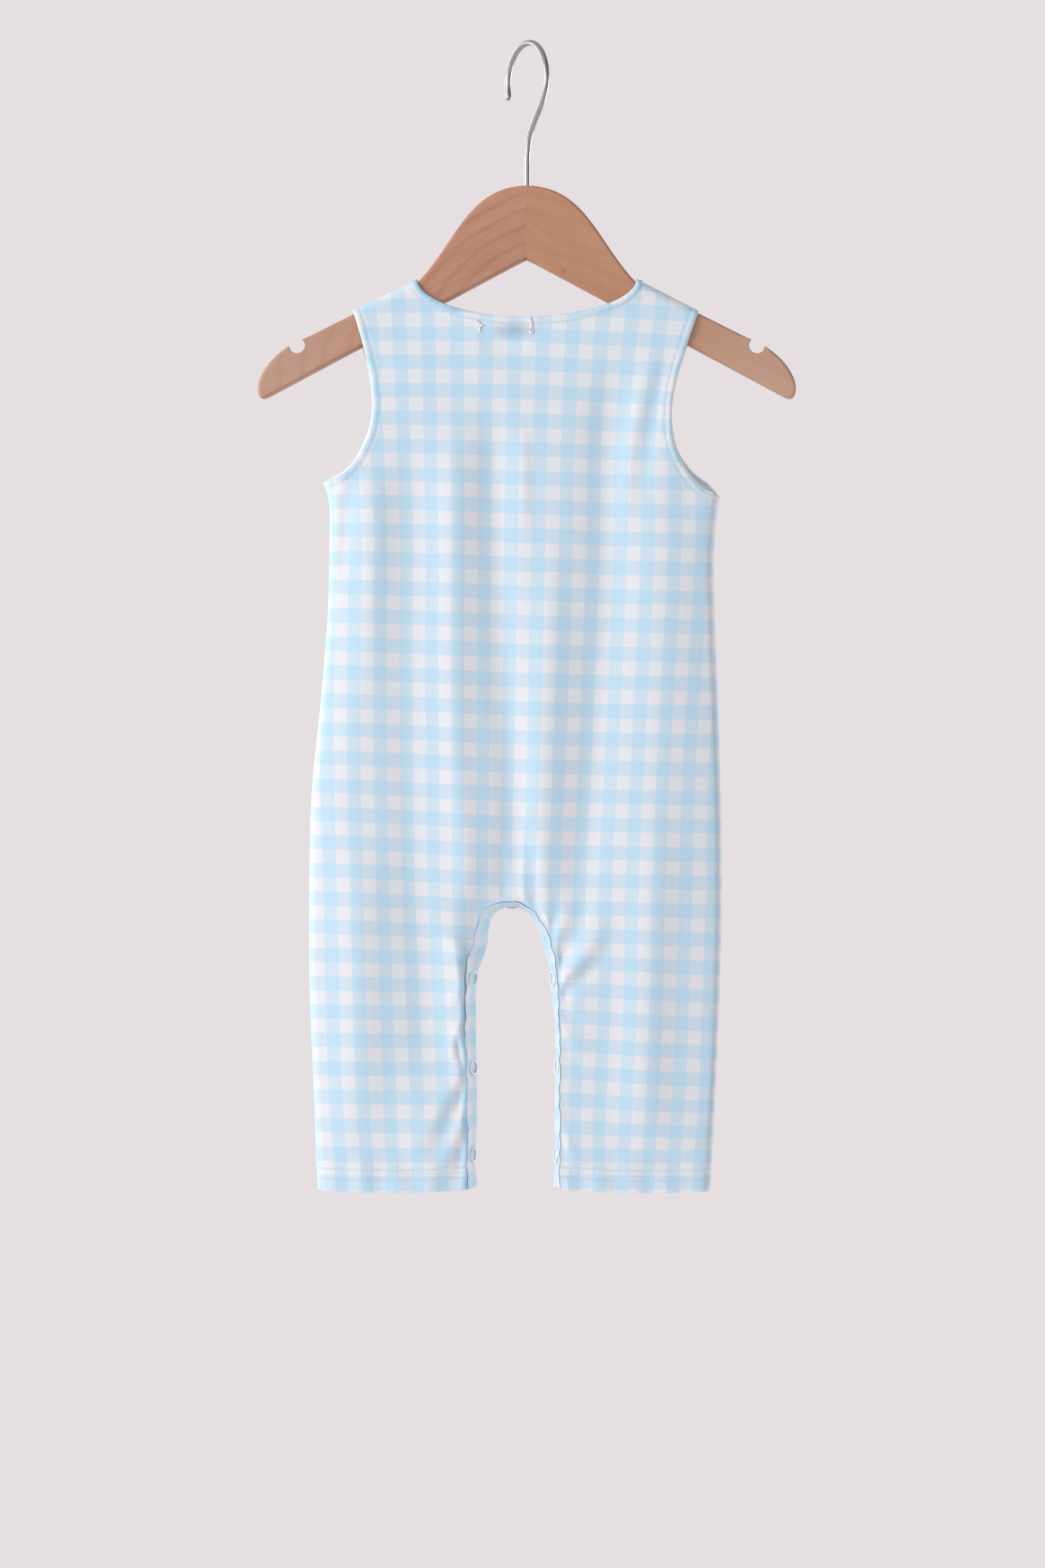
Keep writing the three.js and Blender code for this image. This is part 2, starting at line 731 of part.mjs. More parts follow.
const SNAP_SIDES = 14;
const SNAP_PLACE = 0.62; // across the slanted wall, from the lap edge to the gap's edge

// A ring or disc about its own Z, from 0 down to its thickness.
function turned(innerRadius, outerRadius, thickness) {
  const profile = [
    new THREE.Vector2(innerRadius, -thickness),
    new THREE.Vector2(outerRadius, -thickness),
    new THREE.Vector2(outerRadius, 0),
    new THREE.Vector2(innerRadius, 0),
  ];
  if (innerRadius > 0) profile.push(profile[0].clone());
  const geometry = new THREE.LatheGeometry(profile, SNAP_SIDES);
  return geometry.rotateX(Math.PI / 2);
}

// Places a turned piece at a snap, its top face this far outside the outer strip's face.
function placeOnSnap(mesh, share, height) {
  const frame = inseamFrame(share);
  const centre = stripSection(frame, SNAP_PLACE);
  const inside = stripSection(frame, SNAP_PLACE, 1);
  const outward = centre.clone().sub(inside).normalize();
  const across = new THREE.Vector3().crossVectors(outward, frame.along).normalize();
  const along = new THREE.Vector3().crossVectors(across, outward);
  mesh.setRotationFromMatrix(new THREE.Matrix4().makeBasis(along, across, outward));
  mesh.rotation.reorder('XYZ');
  mesh.position.copy(centre).addScaledVector(outward, height);
}

const SNAP_NAMES = ['left_hem', 'left_knee', 'left_thigh', 'crotch', 'right_thigh', 'right_knee', 'right_hem'];

snapShares.forEach((share, i) => {
  const socketTop = -CLOTH_WALL - SEAM_GAP;
  const studTop = socketTop - SNAP.socketThick - SEAM_GAP;
  const innerTop = studTop - SNAP.studThick - 2 * SEAM_GAP - CLOTH_WALL - SEAM_GAP;
  const layers = [
    { part: 'ring', inner: SNAP.ringInner, outer: SNAP.ringOuter, thick: SNAP.ringThick, top: SNAP.ringThick + 2 * SEAM_GAP },
    { part: 'socket', inner: 0, outer: SNAP.pressRadius, thick: SNAP.socketThick, top: socketTop },
    { part: 'stud', inner: 0, outer: SNAP.pressRadius, thick: SNAP.studThick, top: studTop },
    { part: 'inner_ring', inner: SNAP.ringInner, outer: SNAP.ringOuter, thick: SNAP.ringThick, top: innerTop },
  ];
  for (const layer of layers) {
    const geometry = turned(layer.inner, layer.outer, layer.thick);
    const mesh = addPiece(`snap_${SNAP_NAMES[i]}_${layer.part}`, geometry, COLOURS.snap, 0.35);
    placeOnSnap(mesh, share, layer.top);
  }
});

// ---------------------------------------------------------------------------------------------
// Hanger: two arms of wood that meet at the middle, and a wire hook
// ---------------------------------------------------------------------------------------------

// One arm's outline, from the top of the crown out round the tip and back along the underside.
function armOutline() {
  const { halfSpan, top, underApex, underSlope, neck, armEnd, tipRound } = HANGER;
  const corner = new THREE.Vector2(halfSpan, underApex - underSlope * halfSpan);
  const underEnd = new THREE.Vector2(-1, underSlope).setLength(tipRound).add(corner);
  const path = new THREE.Path();
  path.moveTo(0, top);
  path.bezierCurveTo(34, top, 41.5, top - 33.5, neck.x, neck.z);
  path.lineTo(armEnd.x, armEnd.z);
  path.bezierCurveTo(armEnd.x + 11, armEnd.z - 5, halfSpan, corner.y + 16, halfSpan, corner.y + tipRound);
  path.quadraticCurveTo(corner.x, corner.y, underEnd.x, underEnd.y);
  path.lineTo(0, underApex);
  return path.getPoints(12);
}

function hangerShape() {
  const right = armOutline();
  const left = right.slice(1, -1).reverse().map((p) => new THREE.Vector2(-p.x, p.y));
  return new THREE.Shape([...right, ...left]);
}

function hangerSolid() {
  const { thickness, edgeRound, notch } = HANGER;
  const board = new THREE.ExtrudeGeometry(hangerShape(), {
    depth: thickness - 2 * edgeRound,
    bevelThickness: edgeRound,
    bevelSize: edgeRound,
    bevelOffset: -edgeRound,
    bevelSegments: 3,
    curveSegments: 14,
    steps: 1,
  });
  board.translate(0, 0, -(thickness - 2 * edgeRound) / 2);
  board.rotateX(Math.PI / 2);
  let solid = solidOf(board);

  for (const sign of [-1, 1]) {
    const cutter = new THREE.CylinderGeometry(notch.radius, notch.radius, 2 * thickness, 20);
    cutter.translate(sign * notch.x, 0, notch.z);
    solid = solid.subtract(solidOf(cutter));
  }

  const boreRadius = HOOK.wire / 2 + HOOK.boreClearance;
  const boreDepth = HANGER.top - HOOK.stemFoot + HOOK.boreClearance;
  const bore = new THREE.CylinderGeometry(boreRadius, boreRadius, 2 * boreDepth, 16);
  bore.rotateX(Math.PI / 2);
  bore.translate(0, 0, HANGER.top);
  return solid.subtract(solidOf(bore));
}

const hanger = hangerSolid();
for (const [name, sign] of [['left', -1], ['right', 1]]) {
  const side = new THREE.BoxGeometry(2 * HANGER.halfSpan, 4 * HANGER.thickness, 4 * HANGER.halfSpan);
  side.translate(sign * (HANGER.halfSpan + SEAM_GAP / 2), 0, 0);
  const arm = hanger.intersect(solidOf(side));
  addPiece(`hanger_arm_${name}`, geometryOf(arm), COLOURS.wood, 0.45);
}

// The hook's centreline in its own plane, from the foot of the stem round to the tip.
function hookPath() {
  const { radius, wire, turn, stemFoot } = HOOK;
  const centre = wire / 2 - radius;
  const stem = [
    { out: 0, z: stemFoot },
    { out: 0, z: stemFoot + 14 },
    { out: 0, z: HANGER.top + 8 },
    { out: 0.2, z: -64 },
    { out: 2.6, z: -54 },
    { out: 9.6, z: -44 },
    { out: 17.4, z: -35 },
  ];
  const bend = [];
  const start = THREE.MathUtils.degToRad(-12);
  const end = THREE.MathUtils.degToRad(196);
  const steps = 12;
  for (let i = 0; i <= steps; i++) {
    const angle = lerp(start, end, i / steps);
    bend.push({ out: radius * Math.cos(angle), z: centre + radius * Math.sin(angle) });
  }
  const points = [...stem, ...bend].map(
    ({ out, z }) => new THREE.Vector3(out * Math.sin(turn), -out * Math.cos(turn), z),
  );
  return new THREE.CatmullRomCurve3(points, false, 'centripetal');
}

function hookGeometry() {
  const section = new THREE.Shape().absarc(0, 0, HOOK.wire / 2, 0, 2 * Math.PI);
  const wire = new THREE.ExtrudeGeometry(section, {
    steps: 56,
    curveSegments: 12,
    bevelEnabled: false,
    extrudePath: hookPath(),
  });
  return geometryOf(solidOf(wire));
}

addPiece('hanger_hook', hookGeometry(), COLOURS.steel, 0.3, 1);

export default model;
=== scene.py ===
"""A baby's sleeveless gingham one-piece (jon jon romper) on a small wooden hanger with a wire hook.

Sizes are in millimetres and become metres as each piece is made. +Z is up, the garment's back
faces -Y, and the origin is where a rail bears on the underside of the hook.
"""

import logging
import math
from dataclasses import dataclass, field
from enum import Enum
from typing import Callable, Sequence

import bpy
import numpy as np
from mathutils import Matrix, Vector


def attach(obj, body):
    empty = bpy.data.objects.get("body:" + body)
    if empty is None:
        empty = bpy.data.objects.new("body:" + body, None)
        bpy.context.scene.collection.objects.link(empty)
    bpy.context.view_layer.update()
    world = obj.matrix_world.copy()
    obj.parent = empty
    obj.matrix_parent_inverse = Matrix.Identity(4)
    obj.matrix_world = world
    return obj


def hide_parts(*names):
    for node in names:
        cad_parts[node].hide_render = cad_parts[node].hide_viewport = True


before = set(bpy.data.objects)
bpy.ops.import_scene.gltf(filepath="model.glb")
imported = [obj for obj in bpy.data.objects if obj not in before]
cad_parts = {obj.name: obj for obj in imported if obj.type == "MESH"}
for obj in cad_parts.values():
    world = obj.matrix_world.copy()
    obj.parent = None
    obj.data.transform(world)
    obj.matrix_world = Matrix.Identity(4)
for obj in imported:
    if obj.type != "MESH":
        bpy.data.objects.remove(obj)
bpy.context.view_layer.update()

LOG = logging.getLogger("romper")
MM = 0.001
CHECK = 16.4  # one white and one blue stripe
FLAT = 9  # dress for faces that are shaded flat, with a piece's first finish
FAR_ROW = 9.0  # in the map "rows", a place with no stitching near it

Array = np.ndarray
Point = tuple[float, float]
Colour = tuple[float, float, float]


# --- Small tools ---


def lerp(a: Array | float, b: Array | float, share: Array | float) -> Array | float:
    """The value at a share of the way from a to b."""
    return a + (b - a) * share


def smoothstep(value: Array | float, low: float, high: float) -> Array:
    """0 below low, 1 above high, and a smooth rise between them."""
    t = np.clip((np.asarray(value, float) - low) / (high - low), 0, 1)
    return t * t * (3 - 2 * t)


def quarter_round(distance: Array, width: Array | float, squareness: float = 2.0) -> Array:
    """0 at an edge, rising as a quarter round to 1 at the given width."""
    left = np.clip(1 - distance / width, 0, 1)
    return (1 - left**squareness) ** (1 / squareness)


def at_height(table: Sequence[tuple[float, ...]], z: Array, column: int) -> Array:
    """A column of a table whose first column is a falling height.

    Args:
        table: rows of numbers, the height first.
        z: the heights to read it at.
        column: which number of each row is wanted.

    Returns:
        The value at each height, with the ends held.
    """
    rows = np.asarray(table, float)
    return np.interp(-np.asarray(z, float), -rows[:, 0], rows[:, column])


def unit(vectors: Array) -> Array:
    """The vectors at length 1."""
    return vectors / np.maximum(np.linalg.norm(vectors, axis=-1, keepdims=True), 1e-9)


def walked_along(path: Array) -> Array:
    """How far along a path each of its points lies."""
    return np.concatenate([[0], np.cumsum(np.linalg.norm(np.diff(path, axis=0), axis=1))])


def read_line(stops: Array, walked: Array, line: Array) -> Array:
    """The points of a line at lengths walked along it."""
    return np.stack([np.interp(stops, walked, column) for column in line.T], axis=-1)


def nearest_on(x: Array, z: Array, line: Array) -> tuple[Array, Array]:
    """The nearest place on a line of points in the XZ plane.

    Args:
        x: the points' x.
        z: the points' z.
        line: the line's points, as rows of x and z.

    Returns:
        Each point's distance, and where along the line it is, in segments from its start.
    """
    best = np.full(np.shape(x), np.inf)
    place = np.zeros(np.shape(x))
    for i, (a, b) in enumerate(zip(line[:-1], line[1:])):
        step = b - a
        share = np.clip(((x - a[0]) * step[0] + (z - a[1]) * step[1]) / max(step @ step, 1e-12), 0, 1)
        far = np.hypot(x - a[0] - share * step[0], z - a[1] - share * step[1])
        nearer = far < best
        best = np.where(nearer, far, best)
        place = np.where(nearer, i + share, place)
    return best, place


class SmoothLine:
    """A smooth curve through points, walked by shares of its length."""

    def __init__(self, points: Sequence[Sequence[float]], steps: int = 40) -> None:
        """Fits the curve.

        Args:
            points: what the curve passes through, of any dimension.
            steps: how finely each stretch between two points is divided.
        """
        p = np.asarray(points, float)
        ends = np.vstack([2 * p[0] - p[1], p, 2 * p[-1] - p[-2]])
        t = np.linspace(0, 1, steps, endpoint=False)[:, None]
        parts = []
        for p0, p1, p2, p3 in zip(ends, ends[1:], ends[2:], ends[3:]):
            d0, d1, d2 = (
                max(float((b - a) @ (b - a)) ** 0.25, 1e-4) for a, b in ((p0, p1), (p1, p2), (p2, p3))
            )
            m1 = ((p1 - p0) / d0 - (p2 - p0) / (d0 + d1) + (p2 - p1) / d1) * d1
            m2 = ((p2 - p1) / d1 - (p3 - p1) / (d1 + d2) + (p3 - p2) / d2) * d1
            parts.append(
                (2 * t**3 - 3 * t**2 + 1) * p1
                + (t**3 - 2 * t**2 + t) * m1
                + (3 * t**2 - 2 * t**3) * p2
                + (t**3 - t**2) * m2
            )
        self.points = np.vstack([*parts, p[-1:]])
        self.walked = walked_along(self.points)
        self.length = float(self.walked[-1])

    def at(self, share: Array | float) -> Array:
        """The points at shares of the length."""
        walk = np.clip(share, 0, 1) * self.length
        return read_line(walk, self.walked, self.points)

    def share_at_height(self, z: float, start: float = 0.0, end: float = 1.0) -> float:
        """The share at which the curve first comes down to a height, between two shares.

        Args:
            z: the height.
            start: the first share.
            end: the last share.

        Returns:
            The share, or end if the curve stays above.
        """
        shares = np.linspace(start, end, 401)
        below = np.nonzero(self.at(shares)[:, -1] <= z)[0]
        return float(shares[below[0]]) if len(below) else end


@dataclass
class Surface:
    """Points and faces that will become one piece, with a place on the print for each point."""

    points: Array
    faces: list[list[int]]
    dress: list[int]
    check: Array

    def joined(self, *others: "Surface") -> "Surface":
        """This surface and others as one.

        Args:
            others: what to add.

        Returns:
            The joined surface.
        """
        whole = [self, *others]
        shifts = np.cumsum([0, *(len(s.points) for s in whole)])
        return Surface(
            np.vstack([s.points for s in whole]),
            [[i + int(shift) for i in face] for s, shift in zip(whole, shifts) for face in s.faces],
            [number for s in whole for number in s.dress],
            np.vstack([s.check for s in whole]),
        )

    def piece(self, name: str, finishes: Sequence["Finish"]) -> bpy.types.Object:
        """Makes the object.

        Args:
            name: the piece's name.
            finishes: its finishes, in the order that dress numbers them.

        Returns:
            The new object, with its print in the UV map "check" and its sewn rows in "rows".
        """
        mesh = bpy.data.meshes.new(name)
        mesh.from_pydata((self.points * MM).tolist(), [], self.faces)
        dress = np.array(self.dress, np.int32)
        mesh.polygons.foreach_set("use_smooth", dress != FLAT)
        mesh.polygons.foreach_set("material_index", np.where(dress == FLAT, 0, dress).astype(np.int32))
        corners = np.zeros(len(mesh.loops), np.int32)
        mesh.loops.foreach_get("vertex_index", corners)
        maps = self.check if self.check.shape[1] == 4 else np.hstack(
            [self.check, np.full((len(self.check), 2), FAR_ROW)]
        )
        for layer, first in (("check", 0), ("rows", 2)):
            uv = maps[corners, first : first + 2].astype(np.float32)
            mesh.uv_layers.new(name=layer).data.foreach_set("uv", uv.ravel())
        for finish in finishes:
            mesh.materials.append(finish.material())
        mesh.update()
        made = bpy.data.objects.new(name, mesh)
        bpy.context.scene.collection.objects.link(made)
        return made


def grid_quads(rows: int, columns: int, flipped: bool = False, closed: bool = False) -> Array:
    """Quads over a grid of points that are numbered row by row.

    Args:
        rows: how many rows of points there are.
        columns: how many points a row has.
        flipped: turns the faces round.
        closed: whether each row's end joins its start.

    Returns:
        Four point numbers for each quad.
    """
    j = np.arange(columns if closed else columns - 1)
    i = np.arange(rows - 1)[:, None] * columns
    here, following = i + j, i + (j + 1) % columns
    quads = np.stack([here, here + columns, following + columns, following], axis=-1).reshape(-1, 4)
    return quads[:, ::-1] if flipped else quads


def end_caps(count: int, sides: int) -> list[list[int]]:
    """The faces that close a tube of count points: its first ring, turned round, and its last."""
    return [list(range(sides))[::-1], list(range(count - sides, count))]


def tube(path: Array, radius: Array | float, sides: int, closed_ends: bool = True) -> Surface:
    """A round wire or thread along a path.

    Args:
        path: the points of its middle line.
        radius: its radius, one number or one for each point.
        sides: how many sides its section has.
        closed_ends: whether its ends are rounded off.

    Returns:
        The closed surface.
    """
    radii = np.broadcast_to(np.asarray(radius, float), len(path)).copy()
    tangents = unit(np.gradient(path, axis=0))
    if closed_ends:
        caps = np.radians([75, 50, 25])
        start = [path[0] - tangents[0] * radii[0] * math.sin(a) for a in caps]
        end = [path[-1] + tangents[-1] * radii[-1] * math.sin(a) for a in caps[::-1]]
        path = np.vstack([start, path, end])
        radii = np.concatenate([radii[0] * np.cos(caps), radii, radii[-1] * np.cos(caps[::-1])])
        tangents = np.vstack([[tangents[0]] * 3, tangents, [tangents[-1]] * 3])
    side = unit(np.cross(tangents[0], (0.31, 0.87, 0.38)))
    angles = np.linspace(0, 2 * math.pi, sides, endpoint=False)
    rings = []
    for centre, tangent, r in zip(path, tangents, radii):
        side = unit(side - tangent * (side @ tangent))
        up = np.cross(tangent, side)
        rings.append(centre + r * (np.cos(angles)[:, None] * side + np.sin(angles)[:, None] * up))
    points = np.vstack(rings)
    quads = grid_quads(len(path), sides, flipped=True, closed=True).tolist()
    faces = quads + end_caps(len(points), sides)
    walked = walked_along(path)
    check = np.stack(
        [np.tile(np.arange(sides) / sides, len(path)), np.repeat(walked / CHECK, sides)], axis=-1
    )
    return Surface(points, faces, [0] * len(faces), check)


def cloth_shell(
    points: Array, quads: Array, check: Array, wall: float | Array, seam: Array, white_rim: Array,
    steps: int = 3,
    shaded: Array | None = None,
) -> Surface:
    """Cloth of a real thickness from its outer face, with rolled rims at its free edges.

    Args:
        points: the outer face's points.
        quads: its faces, anticlockwise from outside.
        check: each point's place on the print, and if known its place by the nearest sewn row.
        wall: the thickness, or each point's.
        seam: True for points on a sewn edge, whose rim stays flat.
        white_rim: True for points whose rim shows the wrong side.
        steps: how many facets a rim has between the two faces, less one.
        shaded: True for points in the crevice beside the lap, whose faces there are painted as a blue shade.

    Returns:
        A closed surface, with the print in slot 0, the wrong side in slot 1 and the painted shade of the
        crevice beside the lap in slot 2. Rims on a sewn edge are flat.
    """
    count = len(points)
    wall = np.broadcast_to(np.reshape(wall, (-1, 1)), (count, 1))
    a, b, c, d = (points[quads[:, k]] for k in range(4))
    facing = np.cross(c - a, d - b)
    normals = np.zeros_like(points)
    for k in range(4):
        np.add.at(normals, quads[:, k], facing)
    flat = seam & (np.abs(points[:, 1]) < 0.6)
    normals[flat, 1] = 0
    normals = unit(normals)

    starts, ends = quads.ravel(), np.roll(quads, -1, axis=1).ravel()
    free = ~np.isin(starts * count + ends, ends * count + starts)
    starts, ends = starts[free], ends[free]
    outward = np.zeros_like(points)
    sideways = np.cross(points[ends] - points[starts], normals[starts] + normals[ends])
    np.add.at(outward, starts, sideways)
    np.add.at(outward, ends, sideways)
    rim = np.unique(starts)
    where = np.zeros(count, int)
    where[rim] = np.arange(len(rim))
    half = normals[rim] * wall[rim] / 2
    middle = points[rim] - half
    bulge = unit(outward[rim]) * np.where(seam[rim, None], 0, wall[rim] / 2)
    rings = [
        middle + half * math.cos(angle) + bulge * math.sin(angle)
        for angle in (math.pi * k / (steps + 1) for k in range(1, steps + 1))
    ]
    levels = [
        np.arange(count), *(2 * count + k * len(rim) + where for k in range(steps)), count + np.arange(count)
    ]
    shaded = np.zeros(count, bool) if shaded is None else shaded
    faces = [quads, quads[:, ::-1] + count]
    # Outer faces in the crevice beside the lap take slot 2, the painted shade.
    dress = [np.where(shaded[quads].sum(axis=1) > 2, 2, 0), np.ones(len(quads))]
    for level, (upper, lower) in enumerate(zip(levels, levels[1:])):
        faces.append(np.stack([upper[ends], upper[starts], lower[starts], lower[ends]], axis=-1))
        # Rims at shaded points, below their crest, take the painted shade as well.
        rim_dress = np.where(shaded[starts] & (level > 0), 2, 0)
        rim_dress = np.where(white_rim[starts] & white_rim[ends], 1, rim_dress)
        dress.append(np.where(seam[starts] & seam[ends], FLAT, rim_dress))
    return Surface(
        np.vstack([points, points - normals * wall, *rings]),
        np.vstack(faces).astype(int).tolist(),
        np.concatenate(dress).astype(int).tolist(),
        np.vstack([check, check, *([check[rim]] * steps)]),
    )


# --- Finishes ---


class NodeBoard:
    """A material's nodes, laid out one at a time round a Principled surface."""

    def __init__(self, name: str, roughness: float, **sockets: float | Colour) -> None:
        """Starts a material.

        Args:
            name: the material's name.
            roughness: the surface's roughness.
            sockets: other values of the Principled node, with _ for a space.
        """
        self.made = bpy.data.materials.new(name)
        self.made.use_nodes = True
        self.tree = self.made.node_tree
        self.tree.nodes.clear()
        self.surface = self.add("BsdfPrincipled", Roughness=roughness)
        self.wear(**sockets)
        output = self.add("OutputMaterial")
        self.tree.links.new(self.surface.outputs[0], output.inputs["Surface"])

    def put(self, socket: bpy.types.NodeSocket, value: object) -> None:
        """Links another node's socket to this one, or sets it to a number or a colour.

        Args:
            socket: the input.
            value: what it takes.
        """
        if isinstance(value, bpy.types.NodeSocket):
            self.tree.links.new(value, socket)
        elif socket.type == "RGBA" and len(value) == 3:
            socket.default_value = (*value, 1.0)
        else:
            socket.default_value = value

    def wear(self, **sockets: object) -> None:
        """Puts values on the Principled surface, by socket with _ for a space."""
        for name, value in sockets.items():
            self.put(self.surface.inputs[name.replace("_", " ")], value)

    def add(self, kind: str, settings: dict[str, object] | None = None, **sockets: object) -> bpy.types.Node:
        """Adds a node.

        Args:
            kind: the node's type, without ShaderNode.
            settings: its own properties.
            sockets: its inputs, by name with _ for a space.

        Returns:
            The node.
        """
        node = self.tree.nodes.new("ShaderNode" + kind)
        for name, value in (settings or {}).items():
            setattr(node, name, value)
        for name, value in sockets.items():
            self.put(node.inputs[name.replace("_", " ")], value)
        return node

    def math(self, operation: str, *values: object, clamped: bool = False) -> bpy.types.NodeSocket:
        """The result of a Math node on sockets or numbers.

        Args:
            operation: the node's operation.
            values: its inputs.
            clamped: keeps the result in 0 to 1.

        Returns:
            The result.
        """
        node = self.add("Math", {"operation": operation, "use_clamp": clamped})
        for socket, value in zip(node.inputs, values):
            self.put(socket, value)
        return node.outputs[0]

    def ramp(
        self, share: bpy.types.NodeSocket, stops: Sequence[tuple[float, Colour]]
    ) -> bpy.types.NodeSocket:
        """A colour read off a ramp of stops, each a place and a colour.

        Args:
            share: where to read it.
            stops: its stops.

        Returns:
            The colour.
        """
        node = self.add("ValToRGB", Fac=share)
        elements = node.color_ramp.elements
        while len(elements) < len(stops):
            elements.new(0.5)
        for element, (place, colour) in zip(elements, stops):
            element.position, element.color = place, (*colour, 1.0)
        return node.outputs["Color"]

    def noise(
        self, vector: bpy.types.NodeSocket, scale: float, detail: float = 2.0, **sockets: float
    ) -> bpy.types.NodeSocket:
        """The value of a noise texture."""
        return self.add("TexNoise", Vector=vector, Scale=scale, Detail=detail, **sockets).outputs[0]

    def tinted(self, colour: bpy.types.NodeSocket, factor: bpy.types.NodeSocket) -> bpy.types.NodeSocket:
        """A colour with each of its parts times a factor."""
        return self.add("VectorMath", {"operation": "SCALE"}, Vector=colour, Scale=factor).outputs[0]

    def relief(self, height: bpy.types.NodeSocket, strength: float, distance: float) -> None:
        """Raises the surface by a height, as a bump of this strength over a distance in metres."""
        bump = self.add("Bump", Strength=strength, Distance=distance, Height=height)
        self.wear(Normal=bump.outputs[0])


_made: dict[str, bpy.types.Material] = {}


@dataclass(frozen=True)
class Finish:
    """What a surface is made of and how it looks."""

    name: str

    def build(self) -> bpy.types.Material:
        """Makes the material."""
        raise NotImplementedError

    def material(self) -> bpy.types.Material:
        """The material, made once.

        Returns:
            The material.
        """
        if self.name not in _made:
            _made[self.name] = self.build()
        return _made[self.name]


@dataclass(frozen=True)
class GinghamKnit(Finish):
    """Fine jersey with a printed check: white squares, half-tone stripes and full blue crossings."""

    white: Colour
    half_tone: Colour
    blue: Colour
    edge: float = 0.10  # how soft a stripe's edge is, in the cosine across it
    wales: float = 18.0  # ribs to a check
    courses: float = 25.0
    sheen: float = 0.12
    # Painted shade along the stitching of neck, armholes and hems: how strong it is, and its colour.
    row_shade: float = 0.55  # how strongly the cloth is shaded where stitching draws it in
    row_shade_colour: Colour = (0.44, 0.60, 0.76)
    shade_depth: float = 0.28
    # A painted shade between the two tacks at the neck, as a scaled ball about its middle; shade_depth sets
    # how dark.
    shade_at: tuple[float, float, float] = (0.5, 0.8, 24.9)
    shade_size: tuple[float, float, float] = (65.0, 80.0, 150.0)

    def build(self) -> bpy.types.Material:
        """Makes the knit.

        In the UV map "check" a whole number is a white stripe's middle. The map "rows" holds the
        distance from the nearest row of stitching and the way along it, in millimetres.

        Returns:
            The material.
        """
        board = NodeBoard(
            self.name, 0.88, Sheen_Weight=self.sheen, Sheen_Roughness=0.45, Specular_IOR_Level=0.2,
            Subsurface_Weight=0.35, Subsurface_Radius=(1.0, 1.0, 1.0), Subsurface_Scale=0.0012,
        )
        place = board.add("UVMap", {"uv_map": "check"}).outputs[0]
        axes = board.add("SeparateXYZ", Vector=place)
        rough_edge = board.noise(place, 21.0, 1.0)
        shift = board.math("MULTIPLY_ADD", rough_edge, 0.05, -0.025)
        stripes = []
        for axis in (axes.outputs[0], axes.outputs[1]):
            turned = board.math("MULTIPLY", board.math("ADD", axis, shift), 2 * math.pi)
            wave = board.math("COSINE", turned)
            stripes.append(board.math("MULTIPLY_ADD", wave, -0.5 / self.edge, 0.5, clamped=True))
        tone = board.math("MULTIPLY", board.math("ADD", *stripes), 0.5)
        print_colour = board.ramp(tone, [(0.0, self.white), (0.5, self.half_tone), (1.0, self.blue)])

        across = board.math("MULTIPLY", axes.outputs[0], math.pi * self.wales)
        wale = board.math("ABSOLUTE", board.math("SINE", across))
        down = board.math("MULTIPLY", axes.outputs[1], 2 * math.pi * self.courses)
        course = board.math("MULTIPLY_ADD", board.math("SINE", down), 0.25, 0.5)
        yarn = board.noise(place, 60.0, 2.0)
        knit = board.math(
            "ADD", board.math("MULTIPLY_ADD", wale, 0.6, course), board.math("MULTIPLY", yarn, 0.5)
        )
        mottle = board.noise(place, 5.0, 3.0)
        # Darker in the knit's grooves as painted shade, with a random mottle on top.
        shade = board.math("MULTIPLY_ADD", knit, 0.020, 0.972)
        shade = board.math("ADD", shade, board.math("MULTIPLY_ADD", mottle, 0.03, -0.015))
        from_row = board.add("UVMap", {"uv_map": "rows"}).outputs[0]
        row = board.add("SeparateXYZ", Vector=from_row)
        # Painted shade along each row of stitching, where the cloth is drawn into a groove.
        groove = board.math("MULTIPLY_ADD", board.math("ABSOLUTE", row.outputs[0]), -1.1, 1.0, clamped=True)
        groove_shade = board.math(
            "MULTIPLY", groove, board.math("MULTIPLY_ADD", board.noise(from_row, 0.9, 1.0), 1.5, -0.1)
        )
        seam = board.add("Mix", {"data_type": "RGBA"})
        board.put(seam.inputs[0], board.math("MULTIPLY", groove_shade, self.row_shade, clamped=True))
        board.put(seam.inputs[6], board.tinted(print_colour, shade))
        board.put(seam.inputs[7], self.row_shade_colour)
        # Painted shade: a soft darker patch between the neck's two tacks.
        through = board.add(
            "Mapping", Vector=board.add("TexCoord").outputs["Object"], Location=self.shade_at,
            Scale=self.shade_size,
        )
        behind = board.add(
            "TexGradient", {"gradient_type": "SPHERICAL"}, Vector=through.outputs[0]
        ).outputs[1]
        dimmed = board.math("MULTIPLY_ADD", behind, -self.shade_depth, 1.0)
        board.wear(Base_Color=board.tinted(seam.outputs[2], dimmed))
        board.relief(knit, 0.25, 0.00015)
        return board.made


@dataclass(frozen=True)
class SewingThread(Finish):
    """White polyester thread with its twist."""

    colour: Colour = (0.84, 0.84, 0.87)
    shade: Colour = (0.70, 0.73, 0.80)

    def build(self) -> bpy.types.Material:
        """Makes the thread.

        Returns:
            The material.
        """
        board = NodeBoard(self.name, 0.6, Sheen_Weight=0.3, Sheen_Roughness=0.4)
        place = board.add("TexCoord").outputs["Object"]
        twist = board.add(
            "TexWave", {"bands_direction": "DIAGONAL"}, Vector=place, Scale=900.0, Distortion=1.5
        ).outputs[1]
        board.wear(Base_Color=board.ramp(twist, [(0.0, self.shade), (0.6, self.colour)]))
        board.relief(twist, 0.3, 0.0001)
        return board.made


